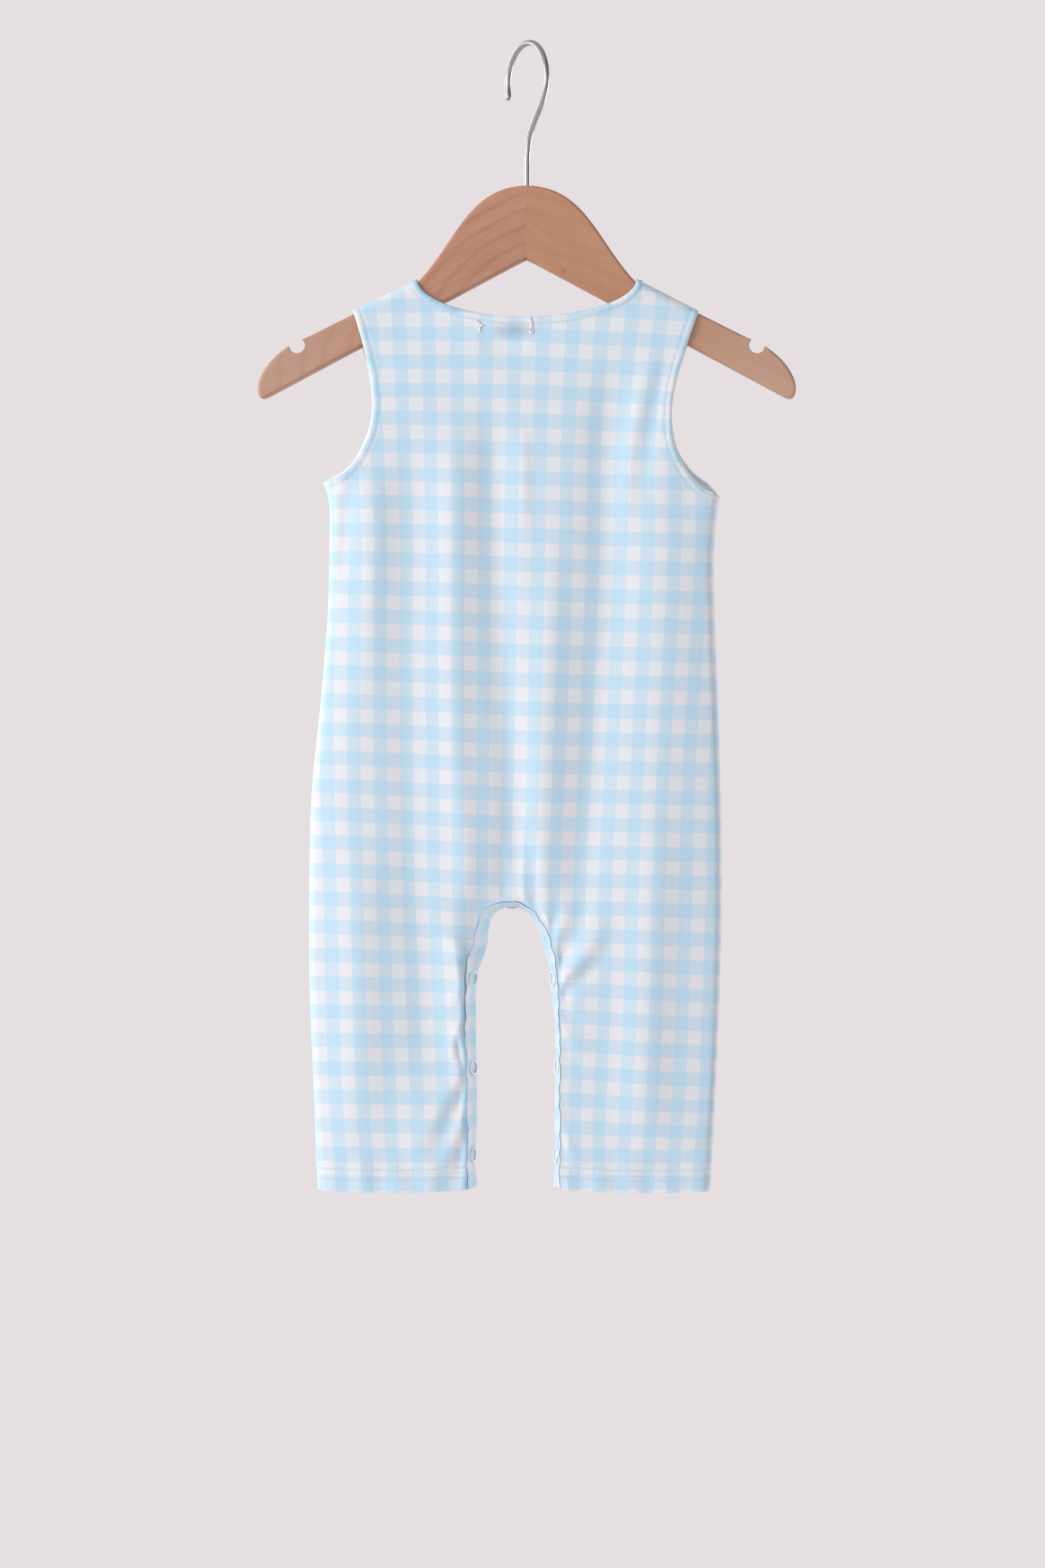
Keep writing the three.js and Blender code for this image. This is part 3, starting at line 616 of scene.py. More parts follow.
@dataclass(frozen=True)
class WhiteEnamel(Finish):
    """Enamelled metal with a little unevenness from the press."""

    colour: Colour = (0.82, 0.84, 0.87)
    worn: Colour = (0.74, 0.77, 0.82)

    def build(self) -> bpy.types.Material:
        """Makes the enamel.

        Returns:
            The material.
        """
        board = NodeBoard(self.name, 0.28, Coat_Weight=0.3, Coat_Roughness=0.15)
        place = board.add("TexCoord").outputs["Object"]
        cloud = board.noise(place, 420.0, 2.0)
        board.wear(Base_Color=board.ramp(cloud, [(0.35, self.worn), (0.6, self.colour)]))
        board.wear(Roughness=board.math("MULTIPLY_ADD", cloud, 0.16, 0.2))
        board.relief(board.noise(place, 900.0, 1.0), 0.15, 0.0001)
        return board.made


@dataclass(frozen=True)
class LacqueredWood(Finish):
    """Close-grained hardwood under a thin satin lacquer, paler towards the arm's tip."""

    light: Colour
    dark: Colour
    slope: float  # the grain's fall from level, in radians about Y
    heart: tuple[float, float, float]  # the middle of the growth rings, in metres
    knot: tuple[float, float, float]
    knot_size: float  # in millimetres
    ring_shade: float  # how dark the late wood is
    ring_length: float  # of the rings along the grain, against 1000 across it

    def build(self) -> bpy.types.Material:
        """Makes the wood: broad growth rings, fine fibre along the grain, a small knot and a few pale flecks.

        Returns:
            The material.
        """
        board = NodeBoard(self.name, 0.5, Specular_IOR_Level=0.35, Coat_Weight=0.12, Coat_Roughness=0.35)
        place = board.add("TexCoord").outputs["Object"]

        def along_grain(
            length: float, width: float, centre: tuple[float, float, float] = (0, 0, 0)
        ) -> bpy.types.NodeSocket:
            """Coordinates turned along the grain about a centre, in units given in millimetres.

            Args:
                length: the unit along the grain.
                width: the unit across it.
                centre: the centre, in metres.

            Returns:
                The coordinates.
            """
            moved = board.add("VectorMath", {"operation": "SUBTRACT"})
            board.put(moved.inputs[0], place)
            moved.inputs[1].default_value = centre
            turned = board.add("Mapping", Vector=moved.outputs[0], Rotation=(0.0, self.slope, 0.0)).outputs[0]
            scale = (1000 / length, 1000 / width, 1000 / width)
            return board.add("Mapping", Vector=turned, Scale=scale).outputs[0]

        rings = board.add(
            "TexWave", {"wave_type": "RINGS", "rings_direction": "Y", "wave_profile": "SIN"},
            Vector=along_grain(self.ring_length, 1000.0, self.heart), Scale=34.0, Distortion=3.0, Detail=2.0,
            Detail_Scale=0.8,
        ).outputs[1]
        fibre = board.noise(along_grain(22.0, 1.1), 1.0, 3.0)
        cloud = board.noise(along_grain(70.0, 9.0), 1.0, 2.0)
        late_wood = board.math("POWER", board.math("SUBTRACT", 1.0, rings), 5.0)
        tone = board.math(
            "MULTIPLY_ADD", late_wood, -self.ring_shade, board.math("MULTIPLY_ADD", fibre, 0.5, 0.12)
        )
        tone = board.math("ADD", tone, board.math("MULTIPLY_ADD", cloud, 0.55, -0.1))
        knot = board.add(
            "TexGradient", {"gradient_type": "SPHERICAL"}, Vector=along_grain(
                self.knot_size, self.knot_size * 0.6, self.knot
            )
        ).outputs[1]
        tone = board.math("MULTIPLY_ADD", knot, -0.75, tone)
        colour = board.ramp(
            tone, [(0.0, tuple(c * 0.8 for c in self.dark)), (0.25, self.dark), (0.8, self.light)]
        )
        fleck = board.math(
            "MULTIPLY_ADD", board.noise(along_grain(1.6, 0.9), 1.0, 0.0), 16.0, -12.4, clamped=True
        )
        shade = board.math("MULTIPLY_ADD", fleck, 0.12, 1.0)
        axes = board.add("SeparateXYZ", Vector=place)
        outwards = board.math(
            "MULTIPLY_ADD", board.math("ABSOLUTE", axes.outputs[0]), 14.0, -0.85, clamped=True
        )
        paler = board.add("Mix", {"data_type": "RGBA"})
        board.put(paler.inputs[0], board.math("MULTIPLY", outwards, 0.42))
        board.put(paler.inputs[6], board.tinted(colour, shade))
        paler.inputs[7].default_value = (0.53, 0.37, 0.295, 1.0)
        board.wear(Base_Color=paler.outputs[2])
        board.wear(Roughness=board.math("MULTIPLY_ADD", fibre, 0.2, 0.4))
        board.relief(fibre, 0.08, 0.00015)
        return board.made


@dataclass(frozen=True)
class SatinSteel(Finish):
    """Drawn steel wire with a satin face."""

    bright: Colour = (0.46, 0.425, 0.405)
    dull: Colour = (0.35, 0.32, 0.30)

    def build(self) -> bpy.types.Material:
        """Makes the steel, with fine drawing marks along the wire.

        Returns:
            The material.
        """
        board = NodeBoard(self.name, 0.3, Metallic=1.0)
        place = board.add("UVMap", {"uv_map": "check"}).outputs[0]
        drawn = board.add("Mapping", Vector=place, Scale=(40.0, 1.5, 1.0)).outputs[0]
        marks = board.noise(drawn, 1.0, 3.0)
        board.wear(Base_Color=board.ramp(marks, [(0.3, self.dull), (0.7, self.bright)]))
        board.wear(Roughness=board.math("MULTIPLY_ADD", marks, 0.2, 0.2))
        board.relief(marks, 0.1, 0.0001)
        return board.made


@dataclass(frozen=True)
class StudioPaper(Finish):
    """The plain pale floor."""

    colour: Colour = (0.80, 0.76, 0.77)

    def build(self) -> bpy.types.Material:
        """Makes the paper.

        Returns:
            The material.
        """
        board = NodeBoard(self.name, 0.9)
        fine = board.noise(board.add("TexCoord").outputs["Object"], 40.0, 3.0)
        light = tuple(c * 1.03 for c in self.colour)
        board.wear(Base_Color=board.ramp(fine, [(0.3, self.colour), (0.7, light)]))
        return board.made


CLOTH_FACE = GinghamKnit("gingham_face", (0.780, 0.785, 0.812), (0.628, 0.740, 0.832), (0.525, 0.721, 0.850))
# An all-blue print for the crevice beside the lap: painted shade.
CLOTH_CREVICE_SHADE = GinghamKnit("seam_shade", (0.45, 0.65, 0.84), (0.42, 0.63, 0.83), (0.39, 0.61, 0.82))
# A darker copy of the print for the lap on the right leg, where it faces the light: painted shade.
CLOTH_LAP_SHADE = GinghamKnit(
    "right_lap_shaded_print", (0.700, 0.725, 0.765), (0.560, 0.680, 0.775), (0.465, 0.655, 0.790)
)
CLOTH_EDGE = GinghamKnit("neck_edge", (0.50, 0.69, 0.85), (0.48, 0.67, 0.84), (0.46, 0.65, 0.83))
CLOTH_BACK = GinghamKnit(
    "gingham_wrong_side", (0.90, 0.88, 0.89), (0.87, 0.875, 0.895), (0.84, 0.865, 0.90), sheen=0.05,
    shade_depth=0.0,
)
THREAD = SewingThread("white_thread")
ENAMEL = WhiteEnamel("white_enamel")
STEEL = SatinSteel("satin_steel")
FLOOR = StudioPaper("pale_floor")
WOOD = {
    "left": LacqueredWood(
        "wood_left", (0.545, 0.272, 0.172), (0.405, 0.182, 0.112), 0.52, (0.010, 0.0, -0.162),
        (-0.0008, -0.0055, -0.1243), 2.6,
        0.2, 1500.0,
    ),
    "right": LacqueredWood(
        "wood_right", (0.540, 0.274, 0.160), (0.425, 0.195, 0.105), -0.52, (0.060, 0.0, -0.230),
        (0.021, -0.005, -0.131), 3.4,
        0.08, 2200.0,
    ),
}


# --- The cut of the garment as it hangs ---


class Face(Enum):
    """Which side of the garment a panel covers."""

    BACK = "back"
    FRONT = "front"


@dataclass(frozen=True)
class Half:
    """One half of the outline, as points of x and z."""

    neck_point: Point
    shoulder_tip: Point
    underarm: Point
    back_armhole: tuple[Point, ...]
    front_armhole: tuple[Point, ...]
    side: tuple[Point, ...]

    def armhole(self, face: Face) -> SmoothLine:
        """The armhole's edge, from the shoulder tip to the underarm."""
        between = self.back_armhole if face is Face.BACK else self.front_armhole
        return SmoothLine([self.shoulder_tip, *between, self.underarm])

    def side_line(self) -> SmoothLine:
        """The side seam, from the underarm to the hem."""
        return SmoothLine([self.underarm, *self.side])


HALVES = {
    "left": Half(
        (-64, -135.6), (-100.5, -153.4), (-118, -253.5),
        ((-94.5, -174), (-89.5, -197), (-89.3, -216), (-94, -232), (-103.5, -246.5)),
        ((-95.3, -174), (-90.3, -197), (-90.2, -215), (-95, -230.5), (-104.5, -244.8)),
        ((-115, -263), (-114.6, -290), (-115.4, -328), (-119.5, -380), (-124.6, -430), (-126.2, -480),
         (-126, -545), (-123.8, -602), (-121.4, -662.5)),
    ),
    "right": Half(
        (64, -135.4), (99.5, -153.6), (112, -261.5),
        ((92, -175), (85.8, -196), (83.5, -216), (85.6, -233.5), (93.5, -249), (104, -259.5)),
        ((92.6, -175), (86.4, -196), (84.2, -214), (87.4, -233.5), (96, -246.5), (106, -254.5)),
        ((110.6, -270), (108.6, -300), (109.4, -340), (111.4, -393), (113, -455), (113, -510),
         (111, -575), (108.6, -625), (106.5, -663)),
    ),
}
NECK_BOTTOM = {Face.BACK: (-1.0, -158.0), Face.FRONT: (-1.0, -184.0)}
PANEL_AREA = {Face.BACK: 0.112, Face.FRONT: 0.111}  # of each panel's cut, in square metres

# The gap's edge from the left hem round the crotch to the right hem: x, z, and the width of lap
# that shows beside it.
INSEAM = (
    (-28.8, -661.5, 4.2), (-30, -646, 3.8), (-29.4, -636, 4.3), (-28.8, -615, 5.2), (-29.1, -588, 5.2),
    (-29.4, -560, 5.9), (-29.3, -545, 5.4), (-27.8, -535.5, 6.9), (-24.8, -527.5, 7.7), (-22.6, -519.5, 7.4),
    (-21.7, -510.5, 6.3), (-18.6, -503.4, 4.9), (-13.3, -500.1, 3.3), (-8.7, -499.8, 2.9),
    (-4.1, -500.1, 2.7),
    (1.6, -503.2, 2.5), (5.2, -509.6, 3.3), (8.3, -518, 4.4), (11.4, -528, 4.3), (13.6, -538, 3.5),
    (14, -546, 3.8), (15, -556, 2.8), (16.4, -568, 2.4), (16.6, -585, 2.3), (16.2, -610, 2.6),
    (16, -639, 3), (15.5, -661.5, 3.1),
)
CROTCH_X = -8.7

# Height, and half the garment's depth there, front or back.
DEPTH = ((-135, 8.0), (-185, 9.0), (-220, 10.5), (-260, 13), (-320, 15), (-400, 16), (-470, 14),
         (-530, 10.6), (-600, 9.2), (-665, 9.4))
# Height, and how wide the cloth rounds over at the left and the right side.
SIDE_ROUND = ((-255, 12, 13), (-320, 20, 24), (-430, 22, 27), (-540, 20, 24), (-665, 17, 20))
ROUND_COLUMN = {"left": 1, "right": 2}


@dataclass(frozen=True)
class LongFold:
    """A long soft fold that hangs down. Its rise is outwards, so a trough's is negative."""

    line: tuple[Point, ...]
    rise: float
    width: float
    top_fade: float = 45.0
    foot_fade: float = 50.0

    def height(self, x: Array, z: Array) -> Array:
        """How far the fold lifts the cloth at each point.

        Args:
            x: the points' x.
            z: their z.

        Returns:
            The lift of each point.
        """
        smooth = SmoothLine(self.line, 12).points
        centre = np.interp(-z, -smooth[:, 1], smooth[:, 0])
        top, foot = smooth[0, 1], smooth[-1, 1]
        fade = smoothstep(-z, -top, -top + self.top_fade) * (
            1 - smoothstep(-z, -foot - self.foot_fade, -foot)
        )
        return self.rise * fade * np.exp(-(((x - centre) / self.width) ** 2))


@dataclass(frozen=True)
class Crease:
    """A short ridge or trough along a line of points, fading out at both ends."""

    line: tuple[Point, ...]
    rise: float
    width: float
    held: bool = False  # keeps its full height at its first end, where something holds the cloth

    def height(self, x: Array, z: Array) -> Array:
        """How far the crease lifts the cloth at each point.

        Args:
            x: the points' x.
            z: their z.

        Returns:
            The lift of each point.
        """
        smooth = SmoothLine(self.line, 6).points if len(self.line) > 2 else np.array(self.line, float)
        reach = 3 * self.width
        near = (x > smooth[:, 0].min() - reach) & (x < smooth[:, 0].max() + reach)
        near &= (z > smooth[:, 1].min() - reach) & (z < smooth[:, 1].max() + reach)
        lift = np.zeros(np.shape(x))
        if near.any():
            distance, place = nearest_on(x[near], z[near], smooth)
            share = place / (len(smooth) - 1)
            fade = 1 - share**2 if self.held else np.sin(math.pi * share) ** 0.8
            lift[near] = self.rise * np.maximum(fade, 0) * np.exp(-((distance / self.width) ** 2))
        return lift


FOLDS = {
    Face.BACK: (
        LongFold(((-90, -240), (-89, -262), (-88.5, -285), (-90, -320), (-92, -400)), 1.5, 7.5, 25, 110),
        LongFold(
            (
                (-67, -205), (-66.5, -262), (-68, -320), (-68.5, -400), (-66, -460), (-61, -520),
                (-57.5, -580), (-56, -612),
            ),
            -2.1, 12, 70, 40,
        ),
        LongFold(
            (
                (-42, -200), (-42, -262), (-42, -322), (-40.5, -400), (-37, -455), (-35, -485), (-37.5, -525),
                (-39, -605),
            ),
            2.2, 8.5, 80, 80,
        ),
        LongFold(
            ((-20, -195), (-19, -240), (-16, -330), (-13.5, -370), (-10.5, -411), (-8, -455), (-7, -500)),
            -2.9, 10, 55, 30,
        ),
        LongFold(((16, -245), (15, -290), (13, -350), (10, -411), (9, -455), (10, -500)), 2.0, 9, 105, 80),
        LongFold(
            ((55, -165), (47, -222), (45, -322), (41.5, -365), (39.5, -400), (35, -450), (26, -520)), -2.9,
            12, 60, 40,
        ),
        LongFold(
            ((80, -205), (79, -240), (78, -300), (76, -390), (73, -480), (68, -560), (65, -650)), 1.8, 14, 40,
            60,
        ),
        # The legs' own roundness.
        LongFold(((-95, -440), (-96, -520), (-96, -600), (-94, -675)), 2.4, 13, 70, 100),
        LongFold(((-60, -585), (-60, -630), (-60, -690)), 1.8, 19, 45, 30),
        LongFold(((76, -430), (73, -480), (70, -560), (68, -675)), 1.7, 15, 60, 60),
    ),
    Face.FRONT: (
        LongFold(((-86, -225), (-88, -262), (-90, -400), (-92, -500), (-94, -650)), 1.5, 9, 40, 90),
        LongFold(((-60, -195), (-57, -300), (-54, -400), (-48, -480), (-42, -570)), -2.4, 10, 60, 70),
        LongFold(((-31, -215), (-30, -300), (-28, -400), (-22, -500)), 1.8, 9, 55, 40),
        LongFold(((-2, -205), (-3, -300), (-3, -400), (-6, -498)), -2.3, 9, 55, 30),
        LongFold(((31, -210), (29, -300), (26, -400), (20, -505)), 1.9, 10, 55, 40),
        LongFold(((62, -185), (60, -300), (57, -400), (52, -500), (48, -620)), -2.4, 11, 60, 90),
        LongFold(((86, -235), (86, -320), (85, -400), (82, -500), (80, -650)), 1.6, 11, 40, 100),
    ),
}
CREASES = {
    Face.BACK: (
        # Over the shoulder blades and under the arms.
        Crease(((76, -172), (67, -202), (60, -232), (57, -262), (55, -300)), 1.1, 4.5),
        Crease(((82, -176), (74, -207), (70, -234), (66, -272)), -1.1, 4.0),
        Crease(((-100, -246), (-103, -264), (-104.5, -284), (-107, -312)), -1.5, 4.5),
        Crease(((-2, -222), (-1.5, -250), (-1, -285)), 0.35, 3.6),
        Crease(((4, -222), (4.5, -252), (4.5, -285)), -0.4, 3.8),
        Crease(((-28, -172), (-14, -175), (2, -172)), -1.0, 5.0),
        # Drawn in to the crotch.
        Crease(((-1.5, -499), (-2, -480), (-2.5, -455)), 1.0, 2.8, True),
        Crease(((4, -500), (3.5, -482), (3, -458)), -1.0, 2.6, True),
        Crease(((10.5, -506), (9.5, -482), (9, -450)), 1.3, 3.4, True),
        Crease(((13.5, -514), (17, -503), (19, -490)), -1.0, 2.4, True),
        Crease(((15.5, -520), (21, -507), (24, -492)), 0.8, 2.6, True),
        Crease(((-12, -499), (-14, -480), (-17, -452)), -0.9, 4.0, True),
        Crease(((18, -533), (28, -514), (36, -488)), -2.2, 4.8, True),
        Crease(((19, -541), (35, -525), (46, -503)), 2.2, 4.8, True),
        Crease(((20, -549), (33, -539), (48, -525)), -1.6, 4.2, True),
        # Puckers at the left leg's snaps.
        Crease(((-35, -528), (-42, -521), (-48, -512)), 0.9, 3.2, True),
        Crease(((-35, -531), (-38, -529), (-43, -526)), -0.9, 1.8, True),
        Crease(((-35.5, -542), (-41, -549), (-46, -556)), 0.9, 3.0, True),
        Crease(((-35.5, -557), (-39, -557), (-45, -560)), -0.7, 1.9, True),
        Crease(((-36, -566), (-41, -573), (-43, -588)), 1.6, 3.2),
        Crease(((-36.5, -602), (-37, -590), (-39.5, -581), (-41, -572)), -1.7, 2.0),
        Crease(((-35.5, -591), (-45, -608), (-58, -630), (-68, -646)), 1.4, 6.0, True),
        Crease(((-36, -606), (-45, -622), (-54, -643)), -1.5, 4.8, True),
        Crease(((-36, -622), (-44, -636), (-50, -654)), 1.5, 4.4, True),
        Crease(((-35.5, -640), (-39, -652), (-42, -664)), -1.4, 4.2, True),
        # Puckers at the right leg's snaps.
        Crease(((19, -560), (26, -564), (35, -568)), -0.7, 2.4, True),
        Crease(((19, -570), (28, -577), (38, -586)), 0.7, 3.0, True),
        Crease(((19, -584), (27, -587), (36, -592)), -0.7, 2.6, True),
        Crease(((19, -619), (27, -620), (38, -624)), -0.9, 2.4, True),
        Crease(((19, -630), (27, -641), (33, -652)), 0.8, 3.8, True),
        Crease(((19, -650), (32, -655), (46, -652)), -0.5, 4.0, True),
        # Small waves over the hems.
        Crease(((-96, -640), (-98, -663)), 0.5, 5.0), Crease(((-70, -640), (-69, -663)), -0.5, 5.0),
        Crease(((58, -640), (57, -663)), 0.5, 5.0), Crease(((82, -640), (84, -663)), -0.5, 5.0),
    ),
    Face.FRONT: (
        Crease(((-12, -500), (-16, -480), (-22, -452)), -0.9, 3.4, True),
        Crease(((2, -501), (4, -482), (8, -458)), -0.8, 3.4, True),
        Crease(((-27, -508), (-38, -492), (-50, -470)), -1.0, 4.0, True),
        Crease(((-31, -540), (-44, -532), (-60, -520)), 1.2, 4.0, True),
        Crease(((-31, -590), (-45, -586), (-62, -578)), -1.2, 3.2, True),
        Crease(((-31, -600), (-44, -618), (-60, -645)), 1.4, 4.8, True),
        Crease(((17, -540), (30, -533), (46, -524)), -1.3, 3.4, True),
        Crease(((17, -552), (30, -562), (46, -580)), 1.2, 4.2, True),
        Crease(((18, -592), (32, -598), (50, -612)), -1.1, 3.4, True),
        Crease(((-8, -190), (-10, -215), (-12, -245)), -0.5, 4.0),
        Crease(((54, -205), (60, -240), (58, -280)), -0.8, 4.5),
        Crease(((-84, -215), (-80, -245), (-79, -280)), -0.8, 4.5),
    ),
}


@dataclass(frozen=True)
class CheckPrint:
    """The printed check, with the small drift that hanging and folds give its stripes."""

    size: float = CHECK
    x_nodes: tuple[float, ...] = (-115, -75, -40, -8, 25, 65, 105)
    z_nodes: tuple[float, ...] = (-140, -185, -235, -290, -350, -420, -490, -550, -610, -665)
    drift_u: tuple[tuple[float, ...], ...] = (
        (0.13, 0.05, -0.03, -0.12, -0.22, -0.31, -0.39), (-0.12, -0.07, -0.04, -0.05, -0.06, -0.04, -0.01),
        (-0.35, -0.19, -0.06, 0.01, 0.07, 0.21, 0.33), (-0.52, -0.30, -0.09, 0.06, 0.13, 0.24, 0.34),
        (-0.49, -0.28, -0.07, 0.12, 0.25, 0.40, 0.56), (-0.47, -0.31, -0.09, 0.20, 0.42, 0.63, 0.85),
        (-0.58, -0.39, -0.10, 0.30, 0.63, 0.83, 0.94), (-0.66, -0.52, -0.32, 0.11, 0.61, 0.88, 1.07),
        (-0.77, -0.66, -0.49, 0.06, 0.75, 1.05, 1.20), (-1.03, -0.77, -0.42, 0.16, 0.79, 1.21, 1.49),
    )
    drift_v: tuple[tuple[float, ...], ...] = (
        (2.24, 2.25, 2.26, 2.24, 2.16, 2.05, 1.92), (2.29, 2.28, 2.27, 2.24, 2.16, 2.05, 1.93),
        (2.34, 2.31, 2.26, 2.20, 2.13, 2.04, 1.95), (2.36, 2.31, 2.24, 2.15, 2.08, 2.00, 1.94),
        (2.34, 2.26, 2.17, 2.09, 2.02, 1.96, 1.92), (2.34, 2.24, 2.13, 2.04, 1.99, 1.94, 1.90),
        (2.37, 2.27, 2.13, 2.03, 2.01, 1.98, 1.92), (2.38, 2.34, 2.29, 2.23, 2.17, 2.05, 1.93),
        (2.39, 2.36, 2.36, 2.34, 2.27, 2.12, 2.01), (2.35, 2.32, 2.33, 2.37, 2.40, 2.40, 2.40),
    )

    @staticmethod
    def _weights(nodes: Sequence[float], values: Array) -> tuple[Array, Array]:
        """The four nodes round each value, and a smooth weight for each.

        Args:
            nodes: the places of the nodes.
            values: what lies between them.

        Returns:
            The nodes' numbers, and their weights.
        """
        n = np.asarray(nodes, float)
        order = 1 if n[1] > n[0] else -1
        exact = np.interp(order * values, order * n, np.arange(len(n)))
        i = np.clip(exact.astype(int), 0, len(n) - 2)
        t = exact - i
        weights = np.stack(
            [-t + 2 * t**2 - t**3, 2 - 5 * t**2 + 3 * t**3, t + 4 * t**2 - 3 * t**3, -(t**2) + t**3]
        ) / 2
        return np.clip(np.stack([i - 1, i, i + 1, i + 2]), 0, len(n) - 1), weights

    def numbers(self, x: Array, z: Array, face: Face) -> Array:
        """Each point's place on the print.

        Args:
            x: the points' x as the cloth hangs.
            z: their z.
            face: the panel they lie on.

        Returns:
            Rows of U and V, in checks.
        """
        mirrored = 1 if face is Face.BACK else -1
        xi, xw = self._weights(self.x_nodes, x * mirrored)
        zi, zw = self._weights(self.z_nodes, z)
        drifts = []
        for table in (self.drift_u, self.drift_v):
            t = np.asarray(table)
            drifts.append(sum(zw[a] * xw[b] * t[zi[a], xi[b]] for a in range(4) for b in range(4)))
        return np.stack([x * mirrored / self.size + drifts[0], -z / self.size + drifts[1]], axis=-1)


@dataclass
class InseamFrames:
    """Places along the inseam: x, z, lap, the way along it and the way into the gap."""

    x: Array
    z: Array
    lap: Array
    along: Array
    into_gap: Array

    def point(self, out: Array | float, back: Array | float) -> Array:
        """Points of the section: out is towards the gap, and back towards -Y.

        Args:
            out: how far towards the gap.
            back: how far towards -Y.

        Returns:
            The points.
        """
        x = self.x + self.into_gap[..., 0] * out
        z = self.z + self.into_gap[..., 1] * out
        return np.stack(np.broadcast_arrays(x, -np.asarray(back, float), z), axis=-1)


@dataclass
class InseamWall:
    """The wall of two lapping strips between the legs' back and front, from hem to hem."""

    back_depth: float = 9.0
    edge_depth: float = -1.6
    front_depth: float = -4.5
    front_set_back: float = 1.5
    tuck: float = 1.0
    leg_start: float = -541.0
    lap_wave: float = 0.38  # how unevenly the lap's edge runs
    lap_walls: tuple[float, float] = (0.8, 0.36)  # the strips' thickness on the left and the right leg
    clearance: float = 0.04  # between the lap and what it covers
    flatter_over: float = 0.05  # of the path past the crotch, where the strips thin out
    snap_from_hem: float = 18.5
    snaps_per_leg: int = 3
    path: SmoothLine = field(init=False)

    def __post_init__(self) -> None:
        """Lays the path and finds the crotch and the legs' starts on it."""
        self.path = SmoothLine([(x, lap, z) for x, z, lap in INSEAM])
        shares = np.arange(0, 1, 1 / 2000)
        self.crotch = float(shares[np.argmax(self.path.at(shares)[:, 0] >= CROTCH_X)])
        self.legs = {
            "left": self.path.share_at_height(self.leg_start, self.crotch, 0.0),
            "right": self.path.share_at_height(self.leg_start, self.crotch, 1.0),
        }
        hem = self.snap_from_hem / self.path.length
        steps = np.arange(self.snaps_per_leg) / self.snaps_per_leg
        self.snaps = np.sort(
            [self.crotch, *lerp(hem, self.crotch, steps), *lerp(1 - hem, self.crotch, steps)]
        )

    def frames(self, shares: Array | float, step: float = 0.004) -> InseamFrames:
        """The frames at shares of the path.

        Args:
            shares: where on the path.
            step: the share that directions are measured over.

        Returns:
            The frames.
        """
        shares = np.asarray(shares, float)
        here = self.path.at(shares)
        walked = shares * self.path.length
        wave = (
            np.sin(walked / 1.7) * np.sin(walked / 9.1 + 0.7)
            + np.sin(walked / 4.3) * np.sin(walked / 15.7 + 1.9)
        )
        here[..., 1] += self.lap_wave * wave
        way = (self.path.at(shares + step) - self.path.at(shares - step))[..., [0, 2]]
        along = unit(way)
        return InseamFrames(
            here[..., 0], here[..., 2], here[..., 1], along,
            np.stack([along[..., 1], -along[..., 0]], axis=-1),
        )

    def lap_wall(self, shares: Array) -> Array:
        """How thick the strips are at shares of the path, pressed flatter on the right leg."""
        return lerp(*self.lap_walls, smoothstep(shares, self.crotch, self.crotch + self.flatter_over))

    def slant(self, frames: InseamFrames) -> Array:
        """The width of the slanted wall, from the lap edge to the gap's edge."""
        return np.hypot(frames.lap, self.back_depth - self.edge_depth)

    def section(self, frames: InseamFrames, place: Array | float, under: Array | float = 0.0) -> Array:
        """Points of the strips' shared section.

        Args:
            frames: where along the inseam.
            place: 0 at the lap edge, 1 at the gap's edge and 2 at the front seam.
            under: how far inside the outer face the points lie.

        Returns:
            The points.
        """
        slant = self.slant(frames)
        normal_a = np.stack([(self.back_depth - self.edge_depth) / slant, frames.lap / slant], axis=-1)
        turn = unit(np.array([-self.front_set_back, self.edge_depth - self.front_depth]))
        normal_b = np.array([turn[1], turn[0]])
        first, second = np.clip(place, 0, 1), np.clip(np.asarray(place) - 1, 0, 1)
        out = -frames.lap * (1 - first) - self.front_set_back * second
        back = lerp(lerp(self.back_depth, self.edge_depth, first), self.front_depth, second)
        ease = np.asarray(smoothstep(place, 0.75, 1.6))[..., None]
        normal = unit(lerp(normal_a, normal_b, ease))
        return frames.point(out - normal[..., 0] * under, back - normal[..., 1] * under)


